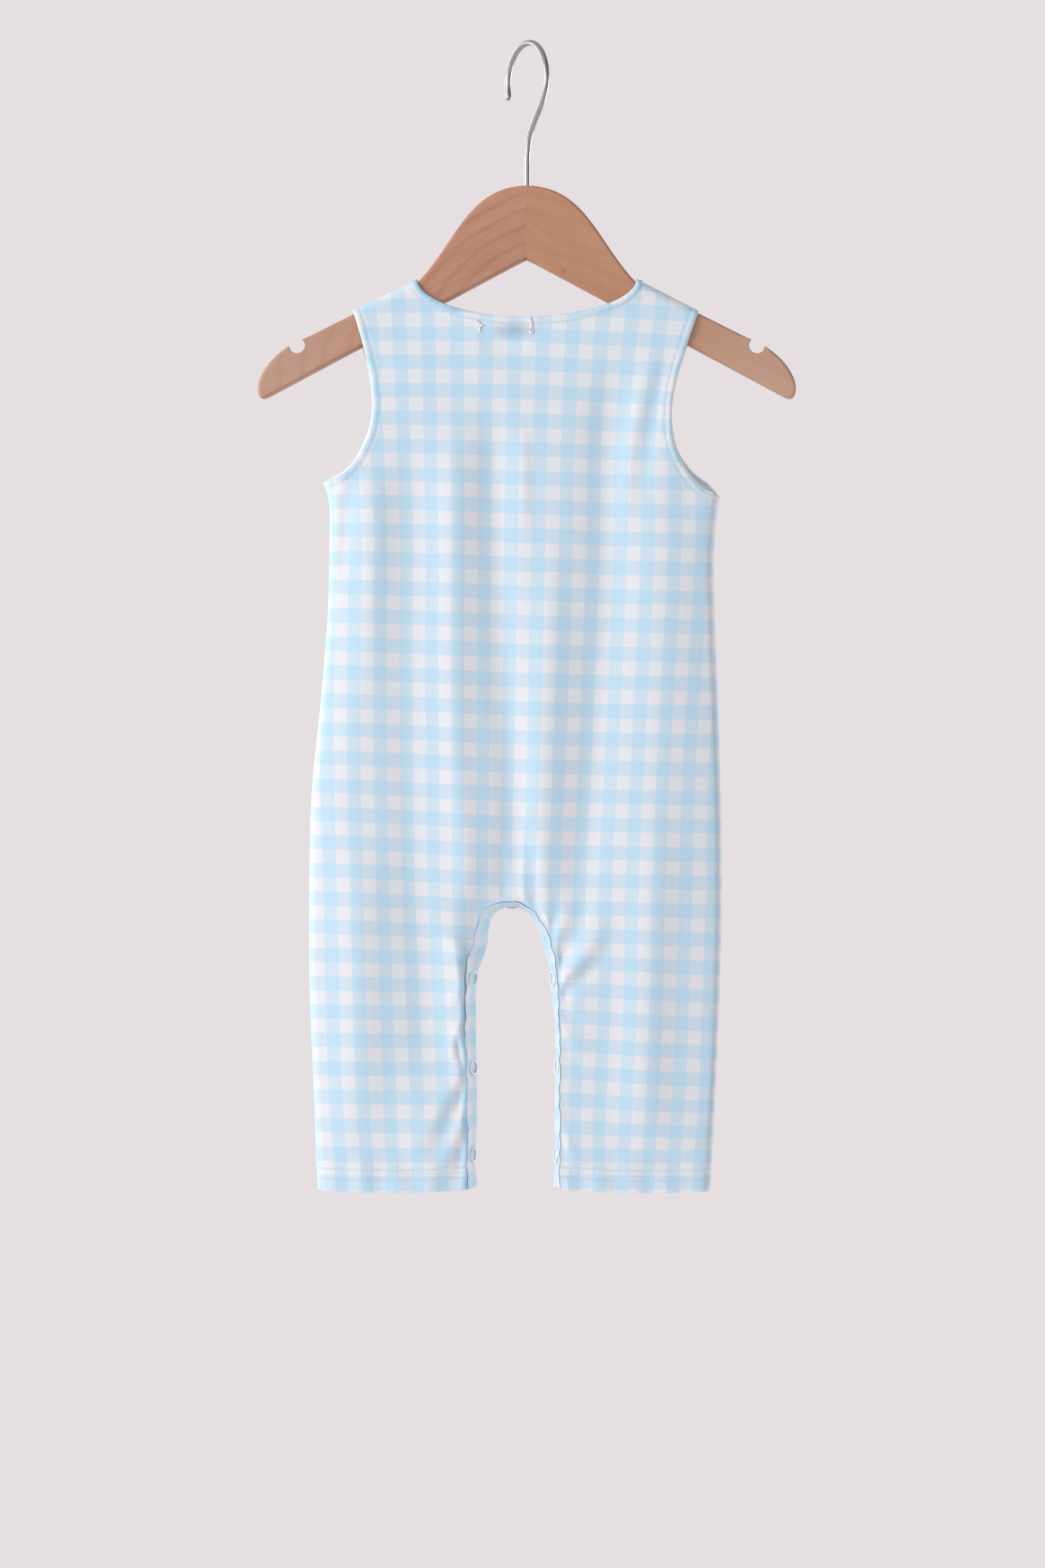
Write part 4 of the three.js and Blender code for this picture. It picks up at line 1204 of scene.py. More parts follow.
@dataclass
class GarmentForm:
    """The form that the cloth takes on the hanger: how far each panel lies from the middle plane."""

    inseam: InseamWall = field(default_factory=InseamWall)
    print: CheckPrint = field(default_factory=CheckPrint)
    cap_fall: float = 7.0
    cap_squareness: float = 2.6
    side_turn: float = 5.0  # the close turn at the side seam, before the long slope
    slope_share: dict[str, float] = field(default_factory=lambda: {"left": 0.40, "right": 0.19})
    slope_reach: dict[str, float] = field(default_factory=lambda: {"left": 6.0, "right": -2.0})
    leg_reach: dict[str, float] = field(default_factory=lambda: {"left": 2.4, "right": 17.0})
    body_reach: float = 34.0  # and over the crotch
    turn_in: float = 3.9  # the hem turned in at neck and armholes, and its stitching
    hem_rows: tuple[float, float] = (6.6, 12.5)
    hem_sag: float = 1.7
    hem_wave: float = 0.45
    # How far the turned-in edge stands up, and how unevenly, at the neck and at the armholes.
    neck_edge: tuple[float, float] = (0.55, 0.12)
    arm_edge: tuple[float, float] = (0.35, 0.4)
    row_groove: float = 0.55  # along the stitching of neck and armholes
    edge_fall: float = 0.5
    hem_rise: float = 0.3
    hem_groove: float = 0.35
    inseam_steps: int = 241
    round_steps: int = 300

    def __post_init__(self) -> None:
        """Lays out the lines that depths are measured from."""
        self.sides = {hand: half.side_line() for hand, half in HALVES.items()}
        shares = np.linspace(0, 1, self.inseam_steps)
        self.frames = self.inseam.frames(shares)
        self.inseam_line = np.stack([self.frames.x, self.frames.z], axis=-1)
        left = np.linspace(0, 1, self.round_steps)
        slope = np.sqrt(1 + (1.7 * left) ** 2 / np.maximum(1 - left**2, 1e-3))
        extra = np.cumsum((slope[1:] + slope[:-1]) / 2 - 1)
        self.round_extra = np.concatenate([[0], extra]) / (self.round_steps - 1)

    def neckline(self, hand: str, face: Face) -> SmoothLine:
        """Half of the neckline, from the shoulder to its lowest point.

        Args:
            hand: which half.
            face: the panel.

        Returns:
            The line.
        """
        neck_point, bottom = HALVES[hand].neck_point, NECK_BOTTOM[face]
        angles = np.linspace(0, math.pi / 2, 11)
        return SmoothLine(
            np.stack(
                [
                    lerp(bottom[0], neck_point[0], np.cos(angles)),
                    lerp(neck_point[1], bottom[1], np.sin(angles)),
                ],
                axis=-1,
            )
        )

    def hem(self, hand: str, x: Array) -> Array:
        """The hem's height at each x of a leg, lowest in its middle.

        Args:
            hand: which leg.
            x: where across it.

        Returns:
            The heights.
        """
        outer, inner = HALVES[hand].side[-1], INSEAM[0 if hand == "left" else -1]
        share = np.clip((x - inner[0]) / (outer[0] - inner[0]), 0, 1)
        return lerp(inner[1], outer[1], share) - self.hem_sag * np.sin(math.pi * share)

    def side_distance(self, x: Array, z: Array, hand: str) -> Array:
        """Each point's distance from the side seam, exactly 0 on it."""
        return np.maximum(nearest_on(x, z, self.sides[hand].points[::4])[0] - 0.04, 0)

    def smooth_depth(self, x: Array, z: Array, hand: str, face: Face) -> Array:
        """How far a panel lies from the middle plane, with its folds and creases.

        Args:
            x: the points' x.
            z: their z.
            hand: the half they lie on.
            face: the panel.

        Returns:
            The depths.
        """
        side = self.side_distance(x, z, hand)
        long_slope = at_height(SIDE_ROUND, z, ROUND_COLUMN[hand]) + self.slope_reach[hand]
        long_rise = 1 - np.clip(1 - side / long_slope, 0, 1) ** 2
        side_share = lerp(quarter_round(side, self.side_turn, 2.6), long_rise, self.slope_share[hand])
        half = HALVES[hand]
        cap = nearest_on(x, z, np.array([half.neck_point, half.shoulder_tip], float))[0]
        open_share = side_share * quarter_round(cap, self.cap_fall, self.cap_squareness)
        depth = at_height(DEPTH, z, 1) * open_share
        if face is Face.FRONT:
            from_armhole = nearest_on(x, z, half.armhole(face).points[::8])[0]
            depth = depth * lerp(0.5, 1.0, smoothstep(from_armhole, 0, 34) ** 0.7)

        distance, place = nearest_on(x, z, self.inseam_line)
        stations = np.arange(self.inseam_steps)
        lap = np.interp(place, stations, self.frames.lap)
        height = np.interp(place, stations, self.frames.z)
        back = face is Face.BACK
        set_back = lap + 1.0 if back else self.inseam.front_set_back
        wall_depth = self.inseam.back_depth - 0.25 if back else -self.inseam.front_depth
        reach = lerp(self.leg_reach[hand], self.body_reach, smoothstep(height, -545, -500))
        pull = np.clip(1 - (distance - set_back) / reach, 0, 1) ** 2
        folds = sum(fold.height(x, z) for fold in FOLDS[face])
        depth = lerp(depth, np.minimum(wall_depth, depth), pull)
        creases = sum(crease.height(x, z) for crease in CREASES[face])
        waves = self.hem_wave * np.sin(x / 3.1 + 0.6) * smoothstep(-z, 636, 662)
        ease = smoothstep(distance - set_back, 0.0, 4.0)
        return 0.02 + depth + open_share * (folds * (1 - pull) + (creases + waves) * ease)

    def edge_relief(self, x: Array, z: Array, hand: str, face: Face) -> Array:
        """The rise of the turned-in hems, with a groove along each row of stitching.

        Args:
            x: the points' x.
            z: their z.
            hand: the half they lie on.
            face: the panel.

        Returns:
            The rise of each point.
        """
        lift = np.zeros(np.shape(x))
        edges = ((self.neckline(hand, face), self.neck_edge), (HALVES[hand].armhole(face), self.arm_edge))
        for line, (rise, uneven) in edges:
            coarse = line.points[::8]
            distance, place = nearest_on(x, z, coarse)
            walked = line.length - place * line.length / (len(coarse) - 1)
            pucker = 1 + uneven * (
                np.sin(walked * 2 * math.pi / 4.6) + np.sin(walked * 2 * math.pi / 11.3 + 1.0)
            )
            lift += rise * pucker * (1 - smoothstep(distance, self.turn_in - 0.2, self.turn_in + 2.6))
            lift -= self.row_groove * np.exp(-(((distance - self.turn_in) / 0.8) ** 2))
            lift -= self.edge_fall * (1 - smoothstep(distance, 0.0, 1.1))
        above = z - self.hem(hand, x)
        lift += self.hem_rise * (1 - smoothstep(above, self.hem_rows[1], self.hem_rows[1] + 1.0))
        for row in self.hem_rows:
            lift -= self.hem_groove * np.exp(-(((above - row) / 0.7) ** 2))
        return lift

    def by_row(self, x: Array, z: Array, hand: str, face: Face) -> Array:
        """Each point's distance from the nearest row of stitching, signed, and the way along it.

        Args:
            x: the points' x.
            z: their z.
            hand: the half they lie on.
            face: the panel.

        Returns:
            Rows of the distance and the way.
        """
        choices = []
        for line in (self.neckline(hand, face), HALVES[hand].armhole(face)):
            coarse = line.points[::8]
            distance, place = nearest_on(x, z, coarse)
            choices.append((distance - self.turn_in, place * line.length / (len(coarse) - 1)))
        above = z - self.hem(hand, x)
        choices += [(above - row, x) for row in self.hem_rows]
        away, along = (np.stack(part) for part in zip(*choices))
        pick = np.argmin(np.abs(away), axis=0)[None]
        return np.stack([np.take_along_axis(part, pick, 0)[0] for part in (away, along)], axis=-1)

    def surface(self, x: Array, z: Array, hand: str, face: Face) -> Array:
        """Points of a panel's outer face.

        Args:
            x: the points' x.
            z: their z.
            hand: the half they lie on.
            face: the panel.

        Returns:
            The points in space.
        """
        side = self.side_distance(x, z, hand)
        depth = self.smooth_depth(x, z, hand, face)
        depth = (
            depth
            + self.edge_relief(x, z, hand, face) * smoothstep(side, 0.0, 3.0) * smoothstep(depth, 0.2, 3.0)
        )
        return np.stack([x, -depth if face is Face.BACK else depth, z], axis=-1)

    def normals(self, x: Array, z: Array, hand: str, face: Face, step: float = 0.5) -> Array:
        """The outward normals of a panel's outer face, without its edge relief.

        Args:
            x: the points' x.
            z: their z.
            hand: the half they lie on.
            face: the panel.
            step: the distance that slopes are measured over.

        Returns:
            The normals.
        """
        run = (
            self.smooth_depth(x + step, z, hand, face) - self.smooth_depth(x - step, z, hand, face)
        ) / (2 * step)
        fall = (
            self.smooth_depth(x, z + step, hand, face) - self.smooth_depth(x, z - step, hand, face)
        ) / (2 * step)
        outward = -1.0 if face is Face.BACK else 1.0
        return unit(np.stack([-run, np.full(np.shape(x), outward), -fall], axis=-1))

    def check(self, x: Array, z: Array, hand: str, face: Face) -> Array:
        """Places on the print, with the cloth's extra length where it rounds over at the side.

        Args:
            x: the points' x.
            z: their z.
            hand: the half they lie on.
            face: the panel.

        Returns:
            Rows of U and V, in checks.
        """
        numbers = self.print.numbers(x, z, face)
        left = np.clip(1 - self.side_distance(x, z, hand) / self.side_turn, 0, 1) * smoothstep(-z, 235, 262)
        extra = self.side_turn * np.interp(
            left, np.linspace(0, 1, self.round_steps), self.round_extra
        ) / self.print.size
        sign = (-1 if hand == "left" else 1) * (1 if face is Face.BACK else -1)
        numbers[..., 0] += sign * extra
        return numbers


FORM = GarmentForm()


def settle(piece: bpy.types.Object, slot: str, *nodes: str) -> bpy.types.Object:
    """Puts a piece on the model: it rides on the root and stands for CAD nodes.

    Args:
        piece: the new piece.
        slot: the record's material slot; not used.
        nodes: the CAD nodes it stands for.

    Returns:
        The piece.
    """
    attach(piece, "root")
    if nodes:
        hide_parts(*nodes)
    LOG.info("%s: %d faces", piece.name, len(piece.data.polygons))
    return piece


# --- The garment's pieces ---


@dataclass
class Panel:
    """The back or the front: two halves cut as one, from the shoulders to the leg hems."""

    face: Face
    area: float
    wall: float = 1.0
    flat_size: Point = (0.262, 0.532)
    rows: dict[str, int] = field(
        default_factory=lambda: {
            "shoulder": 12, "yoke": 32, "chest": 50, "body": 104, "crotch": 36, "leg": 70
        }
    )
    shoulder_band: float = 8.0
    chest_centre: float = -245.0
    crotch_side: float = -462.0
    leg_side: float = -532.0
    # How far below the rail a leg's rows start to follow its curved hem, and over what height.
    drop_from: float = 600.0
    drop_over: float = 62.0
    near_edge: tuple[float, ...] = (0, 0.5, 1.1, 1.8, 2.6, 3.3, 3.9, 4.5, 5.3, 6.6, 8.4)
    across: int = 28
    far_edge: tuple[float, ...] = (20, 15.5, 12, 9.5, 7.8, 6.5, 5.4, 4.6, 3.9, 3.2, 2.4, 1.6, 0.9, 0.4, 0)

    def inseam_edge(self, shares: Array) -> Array:
        """The edge that meets the strips, as points of x and z.

        Args:
            shares: where on the inseam.

        Returns:
            The points.
        """
        wall = FORM.inseam
        frames = wall.frames(shares)
        if self.face is Face.BACK:
            return wall.section(frames, 0.0, wall.lap_wall(shares) + wall.clearance)[..., [0, 2]]
        return wall.section(frames, 2.0)[..., [0, 2]] - frames.into_gap * 0.1

    def half_rows(self, hand: str) -> tuple[Array, Array, Array]:
        """The rows of one half.

        Args:
            hand: which half.

        Returns:
            Each row's inner end, its outer end, and its share of the inseam, or -1 above the crotch.
        """
        wall, half = FORM.inseam, HALVES[hand]
        neckline, armhole, side = FORM.neckline(hand, self.face), half.armhole(self.face), FORM.sides[hand]
        bottom = np.array(NECK_BOTTOM[self.face])
        crotch_top = self.inseam_edge(np.array([wall.crotch]))[0]
        chest = np.array([lerp(bottom[0], crotch_top[0], 0.25), self.chest_centre])
        neck_cap, arm_cap = self.shoulder_band / neckline.length, self.shoulder_band / armhole.length
        yoke_end = 0.34 if self.face is Face.BACK else 0.5
        crotch_side = side.share_at_height(self.crotch_side)
        leg_side = side.share_at_height(self.leg_side)
        leg, hem = wall.legs[hand], 0.0 if hand == "left" else 1.0

        def on(curve: SmoothLine, start: float, end: float) -> Callable[[Array], Array]:
            """Points between two shares of a curve."""
            return lambda t: curve.at(lerp(start, end, t))

        def between(start: Array, end: Array) -> Callable[[Array], Array]:
            """Points between two points."""
            return lambda t: lerp(start, end, t[:, None])

        def spacing(name: str, kind: str) -> Array:
            """How a band's rows are shared out, from 0 to 1.

            Args:
                name: the band.
                kind: where its rows lie closer.

            Returns:
                The shares.
            """
            even = np.linspace(0, 1, self.rows[name] + 1)
            if kind == "round":
                return 1 - np.cos(even * math.pi / 2)
            return {"even": even, "early": even**1.6, "late": 1 - (1 - even) ** 1.4}[kind]

        bands = (
            ("shoulder", "round", on(neckline, 0, neck_cap), on(armhole, 0, arm_cap), None),
            ("yoke", "even", on(neckline, neck_cap, 1), on(armhole, arm_cap, yoke_end), None),
            ("chest", "early", between(bottom, chest), on(armhole, yoke_end, 1), None),
            ("body", "even", between(chest, crotch_top), on(side, 0, crotch_side), None),
            ("crotch", "even", None, on(side, crotch_side, leg_side), (wall.crotch, leg)),
            ("leg", "late", None, on(side, leg_side, 1), (leg, hem)),
        )
        inner, outer, shares = [], [], []
        for name, kind, inner_at, outer_at, inseam in bands:
            t = spacing(name, kind)[0 if name == "shoulder" else 1 :]
            along = lerp(*inseam, t) if inseam else np.full(len(t), -1.0)
            inner.append(self.inseam_edge(along) if inseam else inner_at(t))
            outer.append(outer_at(t))
            shares.append(along)
        return np.vstack(inner), np.vstack(outer), np.concatenate(shares)

    def columns(self, inner: Array, outer: Array, hand: str) -> Array:
        """Shares along each row, closer at its ends and where the side rounds.

        Args:
            inner: each row's inner end.
            outer: its outer end.
            hand: which half.

        Returns:
            The shares, row by row.
        """
        width = np.linalg.norm(outer - inner, axis=1)[:, None]
        underarm = HALVES[hand].underarm[1]
        below = smoothstep(-outer[:, 1], -underarm - 50, -underarm)[:, None]
        count = len(self.far_edge) - 1
        rounded = 1 - np.cos(np.arange(count, -1, -1) / count * math.pi / 2)
        rounding = at_height(SIDE_ROUND, outer[:, 1], ROUND_COLUMN[hand])[:, None] * rounded
        far = lerp(np.array(self.far_edge), rounding, below)
        near = np.broadcast_to(self.near_edge, (len(inner), len(self.near_edge)))
        steps = np.linspace(0, 1, self.across + 1)[1:-1]
        middle = lerp(near[:, -1:], width - far[:, :1], steps)
        return np.hstack([near, middle, width - far]) / width

    def half_grid(self, hand: str) -> tuple[Array, Array, Array, Array, Array]:
        """One half's outer face.

        Args:
            hand: which half.

        Returns:
            A grid of points, their places on the print, True where an edge is sewn, True where a rim
            shows the wrong side, and True in the crevice beside the lap, which is painted as shade.
        """
        inner, outer, shares = self.half_rows(hand)
        t = self.columns(inner, outer, hand)[..., None]
        flat = lerp(inner[:, None], outer[:, None], t)
        x, z = flat[..., 0], flat[..., 1]
        on_leg = np.nonzero(shares >= 0)[0]
        leg_share = np.clip((-z - self.drop_from) / self.drop_over, 0, 1)
        drop = FORM.hem(hand, x) - lerp(inner[-1, 1], outer[-1, 1], t[..., 0])
        z = z + np.where(shares[:, None] >= 0, drop * leg_share**2, 0)
        points = FORM.surface(x, z, hand, self.face)
        check = np.concatenate(
            [FORM.check(x, z, hand, self.face), FORM.by_row(x, z, hand, self.face)], axis=-1
        )
        if self.face is Face.BACK:
            points, check = self._tucked(points, check, shares, on_leg)
        rows, columns = points.shape[:2]
        seam, white, shaded = (np.zeros((rows, columns), bool) for _ in range(3))
        # The tuck under the lap and the panel's edge beside it are painted as shade.
        if self.face is Face.BACK:
            shaded[on_leg, :2] = True
        on_side = outer[:, 1] <= HALVES[hand].underarm[1] + 0.01
        seam[0], seam[on_side, -1], seam[on_leg, 0] = True, True, True
        white[~on_side, -1] = True
        return points, check, seam, white, shaded

    def _tucked(self, points: Array, check: Array, shares: Array, on_leg: Array) -> tuple[Array, Array]:
        """The back's grid with its inseam edge carried on under the lap.

        Args:
            points: the grid.
            check: its places on the print.
            shares: each row's share of the inseam.
            on_leg: the rows that meet it.

        Returns:
            Both grids, with one more column.
        """
        wall = FORM.inseam
        frames = wall.frames(shares[on_leg])
        tuck_depth = wall.lap_wall(shares[on_leg]) + wall.clearance
        points[on_leg, 0] = wall.section(frames, 0.0, tuck_depth)
        under = points[:, :1].copy()
        under[on_leg, 0] = wall.section(frames, wall.tuck / wall.slant(frames), tuck_depth + 0.25)
        return np.concatenate([under, points], axis=1), np.concatenate([check[:, :1], check], axis=1)

    def build(self) -> Surface:
        """The whole panel, its two halves joined along the centre.

        Returns:
            The closed shell.
        """
        parts = []
        for hand in HALVES:
            points, check, *marks = self.half_grid(hand)
            rows, columns = marks[0].shape
            quads = grid_quads(rows, columns, (hand == "left") == (self.face is Face.BACK))
            parts.append(
                (points.reshape(-1, 3), check.reshape(-1, 4), *(mark.ravel() for mark in marks), quads)
            )
        shift = len(parts[0][0])
        points, check, seam, white, shaded = (np.concatenate([parts[0][k], parts[1][k]]) for k in range(5))
        quads = np.vstack([parts[0][5], parts[1][5] + shift])
        _, first, number = np.unique(
            np.round(points * 500).astype(int), axis=0, return_index=True, return_inverse=True
        )
        quads = number.ravel()[quads]
        quads = quads[[len(set(q)) == 4 for q in quads.tolist()]]
        return cloth_shell(
            points[first], quads, check[first], self.wall, seam[first], white[first], shaded=shaded[first]
        )

    def make(self) -> bpy.types.Object:
        """Returns:
            The piece.
        """
        piece = self.build().piece(f"{self.face.value}_cloth", (CLOTH_FACE, CLOTH_BACK, CLOTH_CREVICE_SHADE))
        settle(piece, "gingham", f"{self.face.value}_panel")
        return piece


@dataclass
class InseamStrip:
    """One of the two lapping strips, sewn double along the inseam."""

    name: str
    node: str
    places: tuple[float, ...]  # across the section, from the lap edge at 0 to the front seam at 2
    depth: float  # of its outer face under the lap's
    flat_size: Point
    area: float
    # Right of this x the strip takes the darker copy of its print, as painted shade.
    shaded_from: float = 2.0  # right of here the strip has its own finish
    stations: int = 380
    snap_reach: float = 4.5
    pressed: float = 0.0  # further in at each snap
    roll: float = 0.0  # how far the lap edge stands proud

    def build(self) -> Surface:
        """The strip, with its print running along it.

        Returns:
            The closed shell.
        """
        wall = FORM.inseam
        shares = np.linspace(0, 1, self.stations)
        frames = wall.frames(shares)
        slant = wall.slant(frames)
        walked = shares * wall.path.length
        nearest = np.min(np.abs(shares[:, None] - wall.snaps), axis=1) * wall.path.length
        near_snap = 1 - smoothstep(nearest, self.snap_reach + 0.6, self.snap_reach + 7)
        ripple = 0.18 * np.sin(walked / 3.7) + 0.14 * np.sin(walked / 1.9 + 1.0)
        kinks = np.sin(walked / 2.6) * np.sin(walked / 7.9 + 0.7)
        points, check = [], []
        for place in self.places:
            middle = float(smoothstep(place, 0.24, 0.28) * (1 - smoothstep(place, 1.0, 1.3)))
            edge = math.exp(-((place / 0.12) ** 2))
            proud = self.roll * wall.lap_wall(shares) / wall.lap_walls[0] * (1 + 0.8 * kinks)
            under = self.depth + self.pressed * near_snap * middle - edge * proud
            under = under - (1 - edge) * ripple * middle * float(1 - smoothstep(place, 0.5, 0.85))
            points.append(wall.section(frames, place, under))
            across = place * slant if place <= 1 else slant + (place - 1) * 3.3
            on_right = smoothstep(shares, wall.crotch, wall.crotch + wall.flatter_over)
            check.append(
                np.stack([0.25 + 0.16 * on_right + (across - 5.2) / CHECK, walked / CHECK + 0.2], axis=-1)
            )
        grid = np.stack(points, axis=1)
        print_grid = np.stack(check, axis=1)
        rows, columns = grid.shape[:2]
        seam, white = np.zeros((rows, columns), bool), np.zeros((rows, columns), bool)
        seam[:, -1] = True
        # The lap edge's rim, below its crest, is painted as shade.
        shaded = white.copy()
        shaded[:, 0] = True
        quads = grid_quads(rows, columns, flipped=True)
        strip = cloth_shell(
            grid.reshape(-1, 3), quads, print_grid.reshape(-1, 2), np.repeat(wall.lap_wall(shares), columns),
            seam.ravel(), white.ravel(), shaded=shaded.ravel(),
        )
        # Faces right of the strip's limit take the darker print: painted shade.
        for number, face in enumerate(strip.faces):
            if strip.dress[number] == 0 and strip.points[face[0]][0] > self.shaded_from:
                strip.dress[number] = 3
        return strip

    def make(self) -> bpy.types.Object:
        """Returns:
            The piece.
        """
        piece = self.build().piece(self.name, (CLOTH_FACE, CLOTH_BACK, CLOTH_CREVICE_SHADE, CLOTH_LAP_SHADE))
        settle(piece, "gingham", self.node)
        return piece


@dataclass
class NeckRoll:
    """The narrow roll of cloth that finishes a neckline."""

    face: Face
    width: float = 3.0
    height: float = 0.3
    over_edge: float = 0.45
    ends: float = 0.6  # of each half of the neckline, where the roll runs out

    def build(self) -> Surface:
        """Half a round bead along each half of the neckline.

        Returns:
            The bead's two halves.
        """
        halves = []
        profile = np.array([
            (self.width, 0.02), (self.width * 0.85, 0.22), (1.4, self.height), (0.5, 0.3), (0.0, 0.2),
            (-self.over_edge, -0.2), (-0.35, -0.8), (0.1, -1.2), (0.9, -1.25),
        ])
        for hand in HALVES:
            line = FORM.neckline(hand, self.face)
            shares = np.linspace(0.004, self.ends, 60)
            edge = line.at(shares)
            way = unit(np.gradient(edge, axis=0))
            sign = 1 if hand == "left" else -1
            inward = np.stack([way[:, 1], -way[:, 0]], axis=-1) * sign
            base = edge[:, None] + inward[:, None] * np.maximum(profile[:, 0], -0.05)[None, :, None]
            x, z = base[..., 0], base[..., 1]
            points = FORM.surface(x, z, hand, self.face)
            normals = FORM.normals(x, z, hand, self.face)
            taper = (1 - smoothstep(shares, self.ends - 0.28, self.ends))[:, None, None]
            points = points + normals * (profile[:, 1][None, :, None] * taper - 0.3 * (1 - taper))
            over = np.minimum(profile[:, 0] + 0.05, 0)
            points[..., [0, 2]] += inward[:, None] * over[None, :, None]
            check = FORM.check(x, z, hand, self.face)
            rows, columns = x.shape
            quads = grid_quads(rows, columns, (hand == "left") == (self.face is Face.BACK))
            dress = [0 if hand == "right" else 1] * len(quads)
            halves.append(
                Surface(points.reshape(-1, 3), quads[:, ::-1].tolist(), dress, check.reshape(-1, 2))
            )
        return halves[0].joined(halves[1])

    def make(self) -> bpy.types.Object:
        """Builds and dresses the roll."""
        return settle(self.build().piece(f"{self.face.value}_neck_roll", (CLOTH_FACE, CLOTH_EDGE)), "gingham")


@dataclass
class StitchRows:
    """Rows of topstitching on one panel: neckline, armholes and the twin rows over each hem."""

    face: Face
    pitch: float = 2.25
    length: float = 1.5
    width: float = 0.56
    stand: float = 0.14  # how far a stitch stands out of its groove
    sides: int = 6

    def rows(self) -> list[tuple[str, Array]]:
        """Each row's line in the XZ plane, with the half that it lies on.

        Returns:
            Pairs of a half and a line.
        """
        rows: list[tuple[str, Array]] = []
        for hand, half in HALVES.items():
            sign = 1 if hand == "left" else -1
            for line, start, end in (
                (FORM.neckline(hand, self.face), 0.03, 1.0), (half.armhole(self.face), 0.03, 0.985)
            ):
                edge = line.at(np.linspace(start, end, 160))
                way = unit(np.gradient(edge, axis=0))
                turned = np.stack([way[:, 1], -way[:, 0]], axis=-1) * sign
                if line.points[0, 0] * sign < -90:
                    turned = -turned
                rows.append((hand, edge + turned * FORM.turn_in))
            outer, inner = half.side[-1][0], INSEAM[0 if hand == "left" else -1]
            inner_x = inner[0] + (-(inner[2] + 1.2) * sign if self.face is Face.BACK else -2.2 * sign)
            x = lerp(inner_x, outer - 0.3 * -sign, 1 - (1 - np.linspace(0, 1, 400)) ** 1.3)
            for above in FORM.hem_rows:
                rows.append((hand, np.stack([x, FORM.hem(hand, x) + above], axis=-1)))
        return rows

    def build(self) -> Surface:
        """All the stitches as one surface.

        Returns:
            The stitches.
        """
        around = np.linspace(0, 2 * math.pi, self.sides, endpoint=False)
        along = np.array([-0.5, -0.36, 0.0, 0.36, 0.5])
        swell = np.array([0.25, 0.85, 1.0, 0.85, 0.25])
        dip = np.array([-0.22, -0.04, 0.0, -0.04, -0.22])
        quads = grid_quads(len(along), self.sides, flipped=True, closed=True)
        count = len(along) * self.sides
        caps = end_caps(count, self.sides)
        points, faces = [], []
        for hand, line in self.rows():
            path = FORM.surface(line[:, 0], line[:, 1], hand, self.face)
            walked = walked_along(path)
            stops = np.arange(self.pitch / 2, walked[-1], self.pitch)
            at = read_line(stops, walked, line)
            centres = read_line(stops, walked, path)
            way = unit(read_line(stops + 0.4, walked, path) - read_line(stops - 0.4, walked, path))
            normal = FORM.normals(at[:, 0], at[:, 1], hand, self.face)
            normal = unit(normal - way * np.sum(way * normal, axis=1, keepdims=True))
            side = np.cross(way, normal)
            for centre, w, n, s in zip(centres, way, normal, side):
                spine = centre + n * self.stand + along[:, None] * self.length * w + dip[:, None] * n
                ring = (np.cos(around)[:, None] * n + np.sin(around)[:, None] * s) * self.width / 2
                start = count * len(points)
                points.append((spine[:, None] + swell[:, None, None] * ring).reshape(-1, 3))
                faces += [[i + start for i in face] for face in [*quads.tolist(), *caps]]
        whole = np.vstack(points)
        return Surface(whole, faces, [0] * len(faces), np.zeros((len(whole), 2)))

    def make(self) -> bpy.types.Object:
        """Builds and dresses the stitches."""
        return settle(self.build().piece(f"{self.face.value}_stitching", (THREAD,)), "gingham")


@dataclass
class NeckTacks:
    """Two tacks of white thread on the back, just under the neckline."""

    thread: float = 0.42
    zigzag: tuple[Point, ...] = (
        (-29.3, -160.4), (-28.4, -161.2), (-27.0, -162.0), (-25.7, -162.8),
        (-26.6, -163.6), (-27.4, -164.6), (-26.8, -165.4), (-27.4, -166.6),
    )
    loop: tuple[Point, ...] = (
        (2.0, -158.4), (2.2, -160.4), (2.5, -162.7), (2.1, -164.6), (1.6, -166.5),
        (2.4, -167.4), (3.3, -166.9), (3.2, -165.0), (3.0, -163.3), (2.6, -160.6),
    )
    knots: tuple[Point, ...] = ((-26.0, -162.9), (-28.0, -161.6), (-27.2, -165.4), (2.4, -166.9))

    def build(self) -> Surface:
        """The two threads and their knots.

        Returns:
            The threads.
        """
        parts = []
        for line in (self.zigzag, self.loop):
            path = SmoothLine(line, 8).points
            hand = "left" if path[0, 0] < 0 else "right"
            on_cloth = FORM.surface(path[:, 0], path[:, 1], hand, Face.BACK)
            lift = FORM.normals(path[:, 0], path[:, 1], hand, Face.BACK) * (
                0.3 + 0.25 * np.sin(np.arange(len(path)) * 0.9)[:, None]
            )
            parts.append(tube(on_cloth + lift, self.thread, 8))
        for x, z in self.knots:
            hand = "left" if x < 0 else "right"
            centre = FORM.surface(np.array([x]), np.array([z]), hand, Face.BACK)[0] + (0, -0.45, 0)
            turn = np.linspace(0, 2.4 * math.pi, 14)
            ring = np.stack([0.4 * np.cos(turn), -0.1 * turn / 6, 0.4 * np.sin(turn)], axis=-1)
            parts.append(tube(centre + ring, self.thread * 0.95, 7))
        return parts[0].joined(*parts[1:])

    def make(self) -> bpy.types.Object:
        """Builds and dresses the tacks."""
        return settle(self.build().piece("neck_tacks", (THREAD,)), "gingham")


# --- Snaps ---


